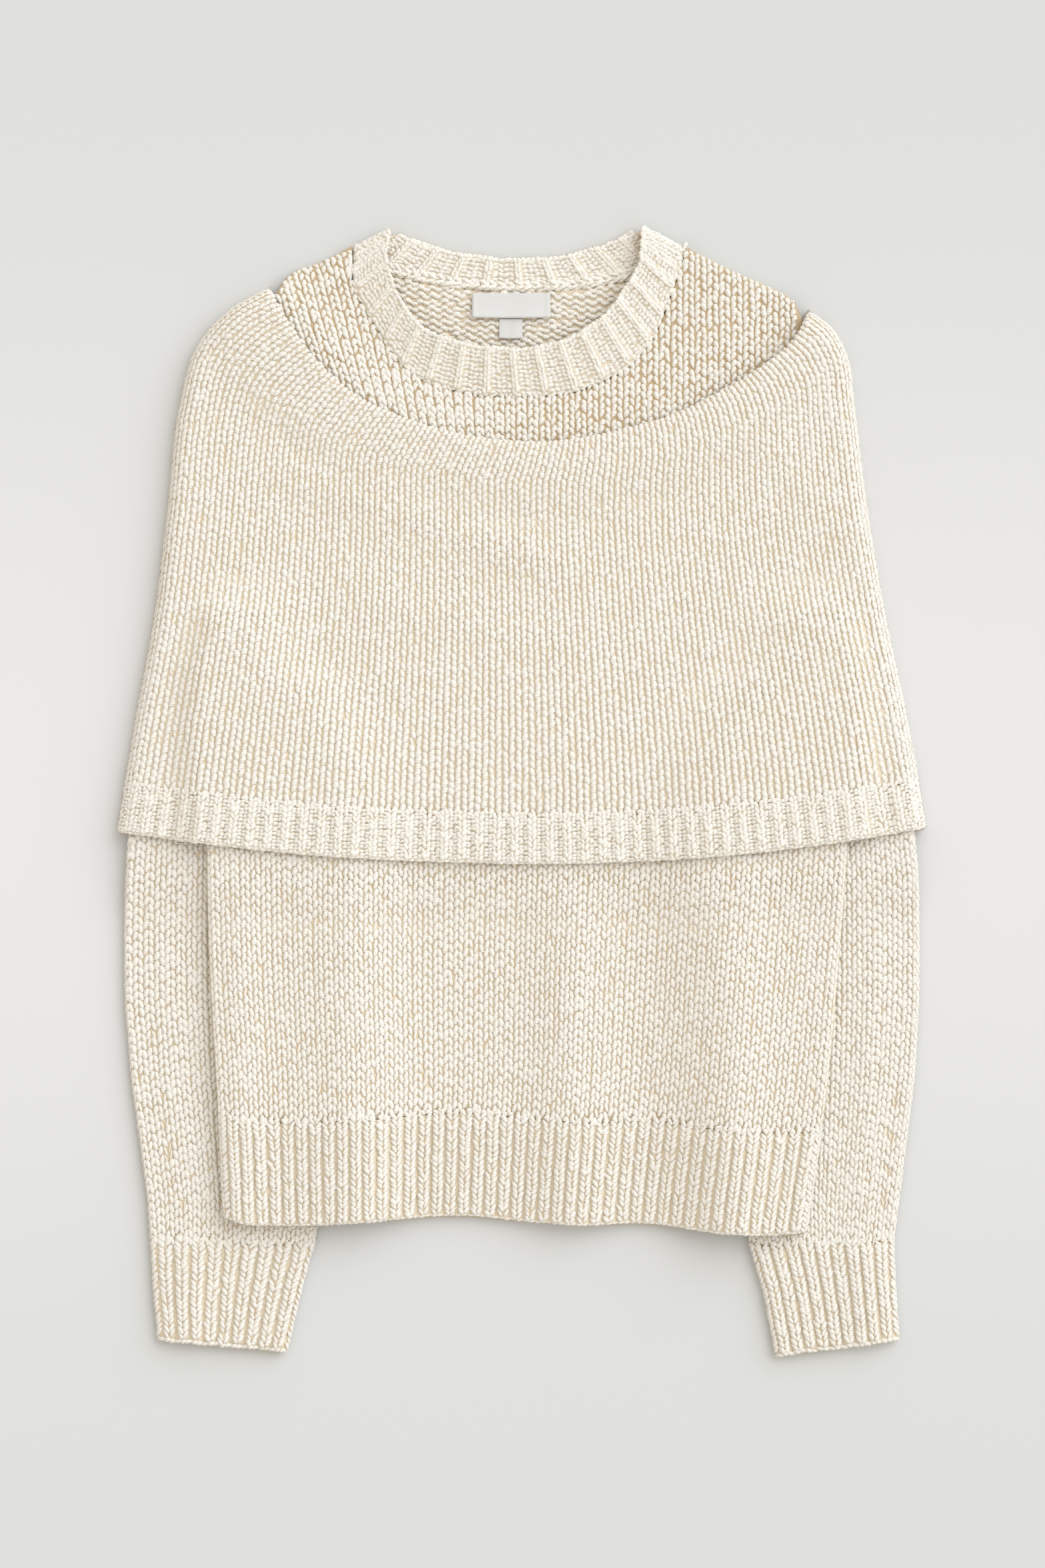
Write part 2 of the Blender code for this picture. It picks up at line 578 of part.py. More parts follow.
def build():
    for thing in list(bpy.data.objects):
        bpy.data.objects.remove(thing, do_unlink=True)
    made = []

    rolled = PAIR / 2
    pin = SLIT / 2
    cape = Plan(CAPE_LEFT, CAPE_RIGHT, CAPE_FOLD, CAPE_HEM, CAPE_TURN, 190.0, 10.0)

    def cape_seam(x, y, deep):
        return np.full(np.shape(x), CLOTH + SEAM_GAP)

    rows = [("top", down, PAIR, down, PAIR - CLOTH) for down in (FACING, 12.0)]
    for bend in (180, 135, 90, 45, 0):
        turn = math.radians(bend)
        outer = (rolled * (1 - math.sin(turn)), rolled * (1 - math.cos(turn)))
        rows.append(("top", *outer, rolled - pin * math.sin(turn), rolled - pin * math.cos(turn)))
    rows += plain("top", rolled + 10.0, FACING + 4.0)
    cols = columns(np.linspace(0, 1, 27))
    size = cape.long(np.array([place if kind == 2 else float(kind) for kind, place in cols]))
    for part in (0.35, 0.68):
        down = FACING + 4.0 + (size - FACING - 4.0) * part
        rows.append(("top", down, 0.0, down, CLOTH))
    rows += plain("level", *(y for y in LEVELS if 10.0 <= y <= 190.0))
    rows += plain("foot", CAPE_HEM_DEEP + SEAM_GAP / 2)
    made.append(panel("cape_front", cape, cols, rows, cape_top, cape_seam))

    spread, rise = rib_places(CAPE_RIBS)
    ridges = np.concatenate([np.zeros(3), rise, np.zeros(3)])
    rows = hem_rows(CAPE_HEM_DEEP)
    made.append(panel("cape_front_hem", cape, columns(spread), rows, cape_top, cape_seam, 1, ridges))

    under = Plan(CAPE_LEFT, CAPE_RIGHT, CAPE_BACK_TOP, CAPE_HEM, 5.0, 160.0, 10.0)

    def floor(x, y, deep):
        return np.zeros(np.shape(x))

    def floor_seam(x, y, deep):
        return np.full(np.shape(x), CLOTH)

    cols = columns(np.linspace(0, 1, 17), 2)
    size = under.long(np.array([place if kind == 2 else float(kind) for kind, place in cols]))
    rows = [("top", size * part, 0.0, size * part, CLOTH) for part in (0.0, 0.34, 0.67)]
    rows += plain("level", 160.0, 84.0, 10.0) + plain("foot", CAPE_HEM_DEEP + SEAM_GAP / 2)
    made.append(panel("cape_back", under, cols, rows, floor, floor_seam, -1))
    cols = columns(np.linspace(0, 1, 15), 2)
    made.append(panel("cape_back_hem", under, cols, hem_rows(CAPE_HEM_DEEP, -1), floor, floor_seam, -1))

    for side in ("front", "back"):
        neck = NECK_FRONT if side == "front" else NECK_BACK
        edge = joined(NECK_SPAN, SHOULDER_LEFT, neck, SHOULDER_RIGHT)
        body = Plan(BODY_LEFT, BODY_RIGHT, edge, BODY_HEM, BODY_TURN, 240.0, -185.0)
        body.top = body.trim(edge)
        start, stop = body.cut
        corners = [(end - start) / (stop - start) for end in NECK_SPAN[1:3]]
        spread = list(np.linspace(0, corners[0], 5)[:-1])
        even = np.linspace(0, 1, 19)
        even = even - 0.35 * np.sin(2 * math.pi * even) / (2 * math.pi)
        spread += list(corners[0] + (corners[1] - corners[0]) * even)
        spread += list(np.linspace(corners[1], 1, 6)[1:])
        cols = columns(spread, 2)
        u = np.array([place if kind == 2 else float(kind) for kind, place in cols])
        size = body.long(u)
        mask = smooth(np.maximum(corners[0] - u, u - corners[1]) / 0.03)
        rows = []
        for bend in (0, 45, 90):
            turn = math.radians(bend)
            down = BODY_TURN * (1 - math.cos(turn))
            inner = CLOTH + (BODY_TURN - CLOTH) * (1 - math.cos(turn))
            off = CLOTH * (1 - math.sin(turn)) * mask
            rows.append(("top", down, off, inner * mask + down * (1 - mask), CLOTH))
        for part in (0.33, 0.66):
            down = BODY_TURN + (size - BODY_TURN) * part
            rows.append(("top", down, 0.0, down, CLOTH))
        rows += plain("level", *LEVELS) + plain("foot", BODY_HEM_DEEP + SEAM_GAP / 2)
        if side == "front":
            level = lambda x, y, deep: front_top(x, y)
            seam = lambda x, y, deep: front_top(x, y) - CLOTH
            made.append(panel("front", body, cols, rows, level, seam))
            spread, rise = rib_places(BODY_RIBS)
            ridges = np.concatenate([np.zeros(2), rise, np.zeros(2)])
            cols = columns(spread, 2)
            made.append(panel("front_hem", body, cols, hem_rows(BODY_HEM_DEEP), level, seam, 1, ridges))
        else:
            level = lambda x, y, deep: back_bottom(x, y)
            seam = lambda x, y, deep: back_bottom(x, y) + CLOTH
            made.append(panel("back", body, cols, rows, level, seam, -1))
            made.append(panel("back_hem", body, cols, hem_rows(BODY_HEM_DEEP, -1), level, seam, -1))

    made.append(tube("sleeve_left", SLEEVE_LEFT, 7, 4))
    made.append(tube("sleeve_right", SLEEVE_RIGHT, 7, 4))
    made.append(tube("cuff_left", CUFF_LEFT, 9, 6, ribs=CUFF_RIBS))
    made.append(tube("cuff_right", CUFF_RIGHT, 9, 6, ribs=CUFF_RIBS))
    made.append(collar("collar"))
    made.append(plate("neck_label", NECK_LABEL, CLOTH + SEAM_GAP, 0.7))
    made.append(plate("size_tab", SIZE_TAB, CLOTH + SEAM_GAP, 0.6, 3))

    group = bpy.data.collections.new("sweater")
    bpy.context.scene.collection.children.link(group)
    looks = {
        "knit": ((0.86, 0.80, 0.70), 0.9),
        "rib": ((0.84, 0.78, 0.68), 0.9),
        "ribbon": ((0.88, 0.87, 0.84), 0.45),
    }
    for thing in made:
        kind = "knit"
        if "hem" in thing.name or "cuff" in thing.name or thing.name == "collar":
            kind = "rib"
        if thing.name in ("neck_label", "size_tab"):
            kind = "ribbon"
        thing.data.materials.append(material(f"{thing.name}_{kind}", *looks[kind]))
        group.objects.link(thing)


build()
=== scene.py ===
import math

import bpy
import numpy as np
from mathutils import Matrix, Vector


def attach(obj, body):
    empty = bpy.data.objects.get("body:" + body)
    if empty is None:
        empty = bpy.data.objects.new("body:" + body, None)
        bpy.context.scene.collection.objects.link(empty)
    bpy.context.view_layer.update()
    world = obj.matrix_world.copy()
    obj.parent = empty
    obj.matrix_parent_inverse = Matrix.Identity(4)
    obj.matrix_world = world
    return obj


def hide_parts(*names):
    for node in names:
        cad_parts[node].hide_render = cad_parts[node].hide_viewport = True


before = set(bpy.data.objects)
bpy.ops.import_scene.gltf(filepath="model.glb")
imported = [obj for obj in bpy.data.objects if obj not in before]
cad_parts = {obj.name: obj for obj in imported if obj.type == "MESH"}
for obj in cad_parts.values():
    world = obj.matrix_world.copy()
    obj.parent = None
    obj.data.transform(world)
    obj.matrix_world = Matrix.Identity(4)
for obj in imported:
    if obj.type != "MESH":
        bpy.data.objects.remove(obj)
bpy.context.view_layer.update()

# Everything below is in millimetres on the table, as in the part's source: x across,
# y up the garment, z up. CENTRE is taken off and MM applied when a mesh is made.
MM = 0.001
CENTRE = np.array((0.6, 0.0, 0.0))
UP = np.array((0.0, 0.0, 1.0))
CLOTH = 3.4           # thickness of the cloth
SLIT = 0.8            # between the two walls of a flattened tube
LAYER_GAP = 0.9       # between layers that rest on each other
CAPE_GAP = 1.3        # between the cape's front and the body
SEAM_GAP = 0.5        # between pieces knitted together
PAIR = 2 * CLOTH + SLIT
ROLLED = PAIR / 2     # radius of the cape's rolled edge
FACING = 22.0         # depth of the facing inside the cape's upper edge
CAPE_TURN = 12.0      # width that each side takes to turn over, seen from above
CAPE_BACK_TURN = 5.0
BODY_TURN = 4.6
CAPE_LEVEL = (190.0, 10.0)    # rows of the panel run level between these heights
CAPE_BACK_LEVEL = (160.0, 10.0)
BODY_LEVEL = (240.0, -185.0)
CAPE_HEM_DEEP = 31.5
BODY_HEM_DEEP = 67.0
COLLAR_HIGH = 31.0
COLLAR_START = 1.4    # where the collar's cloth begins, up from its seam
COLLAR_STAND = 5.0    # how much its free edge stands up
COLLAR_RUN = (0.055, 0.89)           # where its flat part begins along the neck, and its share
NECK_SPAN = (0.0, 0.12, 0.8, 1.0)    # shoulder, neck and shoulder along the body's top

# Slopes where a layer or a fold eases off. The first number says where it starts, as a
# height or as a distance past an edge, and the second how long it is.
BACK_SLOPE = (12.0, 50.0)       # over the upper edge of the cape's back
BACK_END = (-92.0, 38.0)
SLEEVE_SLOPE = (12.0, 56.0)     # the body beside a tucked sleeve
SLEEVE_TOP = (138.0, 34.0)
SIDE_SLOPE = (1.0, 24.0)        # the cape beside the body
FACING_SLOPE = (4.0, 32.0)
FOLDS_SLOPE = (26.0, 24.0)
FOLD_END = 26.0                 # how far a fold of the cape runs out past its ends
RIDGES_GROW = (60.0, 330.0)
RIDGES_TOP = (250.0, 80.0)
LOOSE_TOP = (-30.0, 70.0)
PUFF_TOP = (-60.0, 60.0)
PUFF = (2.2, 0.22, 0.14)        # rise of a sleeve's puff, and its middle and half width across

# Ribs: how many there are and how high they stand. A shape is where the crest is in a
# rib, half its flat top and the width of each flank, and a valley is where that lies.
CAPE_RIBS = 44
BODY_RIBS = 43
CUFF_RIBS = 9
FRONT_RIBS = 15
BACK_RIBS = 9
RIB_RISE = 1.4
CAPE_RIB = (0.56, 0.17, 0.2)
BODY_RIB = (0.56, 0.26, 0.2)
VALLEY = 0.06
COLLAR_RIB = (0.52, 0.1, 0.16)
COLLAR_VALLEY = 0.02
CUFF_FADE = (-292.0, 9.0)     # the slope where the cuff's ribs begin

# Stitches: the width of a column, and the height of a row of them.
WALE = 7.74
COURSE = 4.4
BODY_WALE = 6.6
BODY_COURSE = 5.4
YOKE_COURSE = 4.7
SLEEVE_WALES = 20
YARN = 1.4            # how far the base cloth lies under the crowns of the yarn
INSIDE_YARN = 1.2     # the same inside the back
RIB_COURSE = 3.6
HEM_COURSE = 3.4
CAPE_OVERLAP = 11.0   # how far the body's stitches run on under the cape
SLEEVE_OVERLAP = 9.0  # the same of the sleeves' under the body and the cape
YOKE_OVERLAP = 12.0
YOKE_ACROSS = (-205.0, 186.0)
YOKE_UP = (212.0, 352.0)
YOKE_LEVEL = 330.0    # the yoke's leaning wales are evenly apart at this height
NECK_ACROSS = (-104.0, 104.0)
NECK_UP = (250.0, 330.0)

CAPE_LEFT = (
    (-162.3, 326.2), (-187.3, 312.4), (-210.5, 286.6), (-220.4, 252.2), (-228.5, 183.4),
    (-237.1, 114.6), (-249.6, 45.8), (-261.7, -27.3),
)
CAPE_RIGHT = (
    (186.0, 311.5), (200.2, 300.8), (211.0, 283.0), (215.6, 252.2), (224.2, 183.4),
    (235.9, 114.6), (250.5, 45.8), (262.9, -24.7),
)
CAPE_FOLD = (
    (-162.3, 326.2), (-149.9, 304.2), (-128.4, 275.1), (-102.6, 253.9), (-68.2, 238.9),
    (-29.5, 229.0), (31.6, 227.2), (67.7, 234.6), (100.8, 244.5), (126.6, 257.4),
    (156.3, 275.4), (176.0, 293.3), (186.0, 311.5),
)
CAPE_HEM = (
    (-261.7, -27.3), (-203.6, -35.0), (-132.7, -42.4), (-41.9, -47.0), (28.2, -47.9),
    (94.0, -45.4), (182.1, -37.2), (262.9, -24.7),
)
CAPE_BACK_TOP = (
    (-162.3, 326.2), (-145.0, 288.0), (-105.0, 245.0), (-52.0, 212.0), (5.0, 200.0),
    (62.0, 210.0), (118.0, 241.0), (165.0, 281.0), (186.0, 311.5),
)
BODY_LEFT = (
    (-158.9, 321.0), (-176.1, 235.0), (-186.5, 183.4), (-190.7, 121.0), (-192.9, 101.7),
    (-199.3, 80.2), (-202.3, 55.0), (-202.6, -35.9), (-201.5, -101.7), (-196.3, -195.0),
    (-192.0, -275.8),
)
BODY_RIGHT = (
    (181.7, 304.7), (189.4, 235.0), (195.4, 183.4), (199.7, 121.0), (201.9, 101.7),
    (208.3, 80.2), (210.9, 55.0), (210.5, -33.3), (204.9, -114.2), (195.4, -212.2),
    (184.7, -285.7),
)
SHOULDER_LEFT = ((-158.9, 321.0), (-149.4, 333.9), (-129.2, 342.5), (-109.4, 352.0))
SHOULDER_RIGHT = (
    (107.7, 351.1), (143.0, 333.9), (162.8, 325.3), (176.5, 316.7), (181.7, 304.7),
)
NECK_FRONT = (
    (-109.4, 352.0), (-108.1, 323.1), (-96.5, 303.4), (-81.9, 280.6), (-66.0, 266.2),
    (-40.0, 257.3), (1.9, 254.2), (40.0, 258.5), (67.7, 271.7), (84.8, 290.5),
    (97.4, 320.1), (107.7, 351.1),
)
NECK_BACK = (
    (-109.4, 352.0), (-106.5, 343.5), (-94.0, 336.2), (-69.4, 329.4), (-35.0, 324.2),
    (0.6, 322.7), (36.3, 324.2), (68.2, 329.4), (93.0, 336.2), (105.0, 343.0),
    (107.7, 351.1),
)
FREE_FRONT = (
    (-86.6, 364.0), (-85.4, 334.8), (-78.5, 318.4), (-68.6, 303.4), (-52.2, 293.5),
    (-26.0, 287.0), (0.0, 285.6), (26.9, 290.5), (46.0, 300.6), (64.7, 320.1),
    (76.6, 341.5), (79.8, 365.7),
)
FREE_BACK = (
    (-86.6, 364.0), (-60.8, 353.2), (-35.0, 346.8), (0.6, 344.2), (29.5, 346.4),
    (55.3, 354.0), (79.8, 365.7),
)
BODY_HEM = (
    (-192.0, -275.8), (-179.5, -279.7), (-153.3, -281.0), (-99.5, -278.9), (-35.0, -275.4),
    (3.7, -278.9), (35.9, -281.0), (81.1, -280.3), (132.7, -286.2), (167.5, -287.0),
    (184.7, -285.7),
)
# Sleeve sections from the armhole to the cuff: outer end x, y, then inner end x, y.
SLEEVE_LEFT = (
    (-172.0, 309.0, -163.8, 300.0), (-186.0, 300.0, -168.0, 282.0),
    (-197.0, 287.0, -172.8, 259.0), (-206.5, 268.0, -178.2, 230.0),
    (-213.0, 236.0, -184.0, 200.0), (-217.5, 200.0, -188.0, 174.0),
    (-221.5, 168.0, -190.4, 150.0), (-226.8, 121.0, -192.0, 121.0),
    (-229.4, 104.0, -192.8, 104.0), (-232.6, 84.0, -185.0, 84.0),
    (-236.6, 62.0, -162.0, 62.0), (-241.3, 38.0, -144.0, 38.0),
    (-247.0, 10.0, -132.5, 10.0), (-253.4, -20.0, -128.0, -20.0),
    (-255.6, -54.0, -126.6, -54.0), (-256.9, -92.0, -126.6, -92.0),
    (-256.5, -135.0, -126.6, -135.0), (-252.6, -185.0, -126.9, -185.0),
    (-241.9, -263.8, -127.9, -265.0), (-240.2, -289.6, -133.1, -294.3),
)
SLEEVE_RIGHT = (
    (190.0, 297.0, 183.6, 291.0), (198.0, 286.0, 186.2, 272.0),
    (203.5, 268.0, 188.6, 250.0), (206.6, 246.0, 191.0, 232.0),
    (209.5, 220.0, 193.6, 209.0), (213.5, 190.0, 196.4, 182.0),
    (217.8, 160.0, 199.0, 152.0), (224.3, 121.0, 201.4, 121.0),
    (227.4, 104.0, 202.1, 104.0), (231.0, 84.0, 194.6, 84.0),
    (235.6, 62.0, 171.6, 62.0), (241.2, 38.0, 153.6, 38.0),
    (247.4, 10.0, 142.1, 10.0), (254.0, -20.0, 137.6, -20.0),
    (257.3, -54.0, 136.2, -54.0), (258.2, -92.0, 136.1, -92.0),
    (258.0, -135.0, 136.4, -135.0), (255.2, -185.0, 138.0, -185.0),
    (245.3, -263.8, 143.8, -265.0), (241.9, -290.5, 147.3, -294.3),
)
CUFF_LEFT = (
    (-240.2, -290.0, -133.3, -294.7), (-238.5, -322.0, -141.5, -325.0),
    (-235.4, -354.5, -150.3, -362.6),
)
CUFF_RIGHT = (
    (241.9, -290.9, 147.5, -294.7), (243.2, -322.0, 156.5, -325.0),
    (245.3, -354.5, 164.1, -365.5),
)
# Soft lengthwise ridges of the body front: x, half width, rise at the hem.
BODY_RIDGES = ((-178.0, 16.0, 1.4), (-96.0, 24.0, 2.9), (36.0, 21.0, 3.1), (139.0, 19.0, 2.7))
# What the cloth of the scene adds to them below the cape: x, half width, rise.
LOOSE_FOLDS = ((-181.0, 12.0, 2.2), (-114.0, 29.0, 5.0), (31.0, 27.0, 5.0), (137.0, 24.0, 5.4))
# Soft swellings of the front on both shoulders: x, y, half width, half height, rise.
SHOULDER_SWELLS = ((-122.0, 300.0, 17.0, 32.0, 1.1), (132.0, 300.0, 20.0, 30.0, 1.0))
# Above this height the front's base cloth has the yoke's darker tan, painted shade for the yoke's deeper
# holes.
YOKE_FROM = 150.0
# Soft ridges of the cape: from x, y to x, y, half width, rise.
CAPE_RIDGES = (
    (-175.0, 262.0, -95.0, 213.0, 11.0, 1.2),
    (-130.0, 198.0, 12.0, 156.0, 13.0, 2.2),
    (-90.0, 120.0, 20.0, 98.0, 16.0, 1.0),
    (150.0, 232.0, 205.0, 178.0, 12.0, 1.1),
)
# Ribbons: left, lower, right and upper side, then the ends turned in as shares of the
# length, and the thread's distance from the ends, its pitch and the length of a stitch.
NECK_LABEL = (-31.6, 306.0, 19.1, 321.9)
SIZE_TAB = (-14.0, 292.6, 1.1, 305.6)
TURNED_IN = (0.055, 0.015)
THREAD_IN = 1.3
THREAD_PITCH = 1.5
THREAD_LONG = 1.15
# Rows of small holes near the lower ends of the sleeves, made as thinner stitches.
EYELETS = {
    "left": ((-231.1, -217.4), (-226.8, -235.9), (-223.8, -253.5), (-220.4, -268.5)),
    "right": ((241.9, -205.3), (239.3, -226.0), (236.3, -245.7), (232.0, -267.2)),
}
EYELET_RADIUS = 3.6
EYELET_THIN = 0.42


def smooth(value):
    t = np.clip(value, 0.0, 1.0)
    return t * t * (3 - 2 * t)


def unit(v):
    return v / np.maximum(np.linalg.norm(v, axis=-1, keepdims=True), 1e-9)

def lengths(line):
    """How far along a line of points each of them is."""
    step = np.linalg.norm(np.diff(line, axis=0), axis=1)
    return np.concatenate([[0], np.cumsum(step)])


def curve(rows):
    """A function of 0 to 1 that runs smoothly through rows of numbers, by plan length."""
    pts = np.array(rows, float)
    step = np.hypot(*np.diff(pts[:, :2], axis=0).T)
    knot = np.concatenate([[0.0], np.cumsum(step)]) / step.sum()
    slope = np.gradient(pts, knot, axis=0)

    def at(t):
        t = np.clip(np.asarray(t, float), 0.0, 1.0)
        i = np.clip(np.searchsorted(knot, t, side="right") - 1, 0, len(knot) - 2)
        wide = knot[i + 1] - knot[i]
        f = ((t - knot[i]) / wide)[..., None]
        wide = wide[..., None]
        one = (1 + 2 * f) * (1 - f) ** 2 * pts[i] + f * (1 - f) ** 2 * wide * slope[i]
        two = f * f * (3 - 2 * f) * pts[i + 1] - f * f * (1 - f) * wide * slope[i + 1]
        return one + two

    return at


def joined(ends, *parts):
    """Runs curves one after another. ends says where each starts and stops, from 0 to 1."""
    lines = [curve(rows) for rows in parts]

    def at(t):
        t = np.clip(np.asarray(t, float), 0.0, 1.0)
        i = np.clip(np.searchsorted(ends, t, side="right") - 1, 0, len(lines) - 1)
        out = np.zeros(t.shape + (2,))
        for k, line in enumerate(lines):
            here = i == k
            out[here] = line((t[here] - ends[k]) / (ends[k + 1] - ends[k]))
        return out

    return at


def level_of(rows):
    """x as a function of y along a side, from rows that run down."""
    path = curve(rows)(np.linspace(0, 1, 200))
    order = np.argsort(path[:, 1])
    return lambda y: np.interp(y, path[order, 1], path[order, 0])


def height_of(rows):
    """y as a function of x along an edge that runs from left to right."""
    path = curve(rows)(np.linspace(0, 1, 300))
    return lambda x: np.interp(x, path[:, 0], path[:, 1])


INNER_LEFT = level_of([(row[2], row[3]) for row in SLEEVE_LEFT])
INNER_RIGHT = level_of([(row[2], row[3]) for row in SLEEVE_RIGHT])
SIDE_LEFT = level_of(BODY_LEFT)
SIDE_RIGHT = level_of(BODY_RIGHT)
BACK_TOP = curve(CAPE_BACK_TOP)(np.linspace(0, 1, 120))
CAPE_HEM_AT = height_of(CAPE_HEM)
BODY_HEM_AT = height_of(BODY_HEM)
FOLD_AT = height_of(CAPE_FOLD)


def lift(x, y):
    """How far the cape's back panel raises what lies on it."""
    top = np.interp(x, BACK_TOP[:, 0], BACK_TOP[:, 1])
    outside = np.clip(np.maximum(CAPE_LEFT[0][0] - x, x - CAPE_RIGHT[0][0]), 0, None)
    above = 1 - smooth((y - top - BACK_SLOPE[0] - 3 * outside) / BACK_SLOPE[1])
    below = smooth((y - BACK_END[0]) / BACK_END[1])
    return (CLOTH + LAYER_GAP) * above * below


def over_sleeve(x, y):
    """1 where the body lies on a tucked sleeve, easing to 0 beside it."""
    start, long = SLEEVE_SLOPE
    left = 1 - smooth((x - INNER_LEFT(y) - start) / long)
    right = 1 - smooth((INNER_RIGHT(y) - start - x) / long)
    return np.maximum(left, right) * smooth((SLEEVE_TOP[0] - y) / SLEEVE_TOP[1])


def ridges_at(x, ridges):
    """The height of lengthwise ridges, each given as x, half width and rise."""
    total = np.zeros(np.shape(x))
    for centre, half, rise in ridges:
        total = total + rise * np.exp(-(((x - centre) / half) ** 2))
    return total


def body_air(x, y):
    """How far the body's front stands off its back, as soft lengthwise ridges."""
    grow = 0.12 + 0.88 * smooth((RIDGES_GROW[0] - y) / RIDGES_GROW[1])
    top = smooth((RIDGES_TOP[0] - y) / RIDGES_TOP[1])
    swell = np.zeros(np.shape(x))
    for cx, cy, wide, high, rise in SHOULDER_SWELLS:
        swell = swell + rise * np.exp(-(((x - cx) / wide) ** 2 + ((y - cy) / high) ** 2))
    return ridges_at(x, BODY_RIDGES) * grow * top + swell


def loose_folds(x, y):
    """What the front's lengthwise folds add below the cape."""
    return ridges_at(x, LOOSE_FOLDS) * smooth((LOOSE_TOP[0] - y) / LOOSE_TOP[1])


def back_bottom(x, y):
    return lift(x, y) + (PAIR + LAYER_GAP) * over_sleeve(x, y)


def front_top(x, y):
    return back_bottom(x, y) + PAIR + body_air(x, y)


def cape_support(x, y):
    """The top of what lies under the cape's front."""
    out = np.maximum(SIDE_LEFT(y) - x, x - SIDE_RIGHT(y))
    inside = 1 - smooth((out - SIDE_SLOPE[0]) / SIDE_SLOPE[1])
    raised = (PAIR + LAYER_GAP) * over_sleeve(x, y) + body_air(x, y)
    return lift(x, y) + PAIR + raised * inside


def cape_folds(x, y):
    """The slanting folds of the cape, fading out past both their ends."""
    total = np.zeros(np.shape(x))
    for x0, y0, x1, y1, half, rise in CAPE_RIDGES:
        dx, dy = x1 - x0, y1 - y0
        size = math.hypot(dx, dy)
        along = ((x - x0) * dx + (y - y0) * dy) / size
        aside = ((x - x0) * dy - (y - y0) * dx) / size - 0.05 * np.minimum(along, size)
        ends = np.clip(np.maximum(-along, along - size), 0, None)
        total = total + rise * np.exp(-((aside / half) ** 2) - (ends / FOLD_END) ** 2)
    return total


def cape_top(x, y, deep):
    """The cape front's upper face. deep is the distance from its rolled edge."""
    start, long = FACING_SLOPE
    doubled = (CLOTH + SLIT) * (1 - smooth((deep - FACING - start) / long))
    loose = cape_folds(x, y) * smooth((deep - FOLDS_SLOPE[0]) / FOLDS_SLOPE[1])
    return cape_support(x, y) + CAPE_GAP + CLOTH + doubled + loose


class Plan:
    """A panel seen from above. Its sides turn over in their last part, its upper and
    lower zones follow their edge curves, and between them its rows run level."""

    def __init__(self, left, right, top, bottom, turn, first, last):
        self.turn, self.first, self.last = turn, first, last
        self.sides = (curve(left), curve(right))
        self.bottom = self.trim(bottom)
        self.top = self.trim(top)
        self.v = np.linspace(0, 1, 240)
        self.lean, self.inset = [], []
        for k in (0, 1):
            path = self.sides[k](self.v)
            run = np.gradient(path, self.v, axis=0)
            turned = np.stack([-run[:, 1], run[:, 0]], axis=1) * (1 if k == 0 else -1)
            turned = turned / np.hypot(*turned.T)[:, None]
            for line, i, near in ((self.top, 0, self.v), (self.bottom, -1, 1 - self.v)):
                end = line(float(k)) - path[i]
                part = 1 - smooth(near / 0.08)[:, None]
                turned = turned * (1 - part) + end / np.hypot(*end) * part
            self.lean.append(turned / np.hypot(*turned.T)[:, None])
            self.inset.append(path + self.lean[k] * turn)
        self.long = lambda u: np.hypot(*(self.top(u) - self.level(u, first)).T)
        self.low = lambda u: np.hypot(*(self.level(u, last) - self.bottom(u)).T)

    def trim(self, line):
        """Cuts the turned width off both ends of an edge."""
        line = line if callable(line) else curve(line)
        t = np.linspace(0, 1, 2400)
        path = line(t)
        first = t[np.argmax(np.hypot(*(path - path[0]).T) >= self.turn)]
        last = t[len(t) - 1 - np.argmax(np.hypot(*(path - path[-1]).T)[::-1] >= self.turn)]
        self.cut = (first, last)
        return lambda u: line(first + (last - first) * np.asarray(u, float))

    def reach(self, k, y):
        """How far along side k the turned part's inner line stands at height y."""
        path = self.inset[k]
        return np.interp(-y, -path[:, 1], self.v)

    def level(self, u, y):
        """The point of the level row y, u of the way across."""
        ends = [self.inset[k] for k in (0, 1)]
        x = [np.interp(-y, -path[:, 1], path[:, 0]) for path in ends]
        u = np.asarray(u, float)
        return np.stack([x[0] + (x[1] - x[0]) * u, np.full(u.shape, float(y))], axis=-1)

    def row(self, zone, value, u):
        """Points across a row, and how far along the two sides it ends. value is a
        length from the edge curve for the end zones, and a height for the middle."""
        u = np.asarray(u, float)
        spots = [self.reach(k, self.first if zone == "top" else self.last) for k in (0, 1)]
        if zone == "level":
            ends = [self.reach(k, value) for k in (0, 1)]
            deep = self.long(u) + self.first - value
            return self.level(u, value), ends, deep
        size = self.long(u) if zone == "top" else self.low(u)
        f = np.clip(value / size, 0, 1)
        edge, flat = (self.top(u), self.level(u, self.first))
        if zone == "foot":
            edge, flat = self.bottom(u), self.level(u, self.last)
        both = []
        for k in (0, 1):
            share = f[-k]
            v = spots[k] * share if zone == "top" else 1 - (1 - spots[k]) * share
            path = np.array([np.interp(v, self.v, self.inset[k][:, i]) for i in (0, 1)])
            both.append(path - edge[-k] * (1 - share) - flat[-k] * share)
        a = u[:, None]
        points = edge * (1 - f[:, None]) + flat * f[:, None]
        points = points + both[0] * (1 - a) ** 3 + both[1] * a ** 3
        ends = [spots[0] * f[0], spots[1] * f[-1]]
        if zone == "foot":
            ends = [1 - (1 - spots[0]) * f[0], 1 - (1 - spots[1]) * f[-1]]
        deep = f * size if zone == "top" else self.long(u) + self.first - points[:, 1]
        return points, ends, deep

    def side(self, k, v, deep):
        """A point deep millimetres in from side k."""
        lean = np.array([np.interp(v, self.v, self.lean[k][:, i]) for i in (0, 1)])
        return self.sides[k](v) + lean * deep


def columns(spread, turns=6):
    """Columns of a panel: the side turned over there, or 2, and the place."""
    cols = [(0, a) for a in np.linspace(0, 1, turns + 1)[:-1]]
    cols += [(2, u) for u in spread]
    cols += [(1, a) for a in np.linspace(1, 0, turns + 1)[1:]]
    return cols


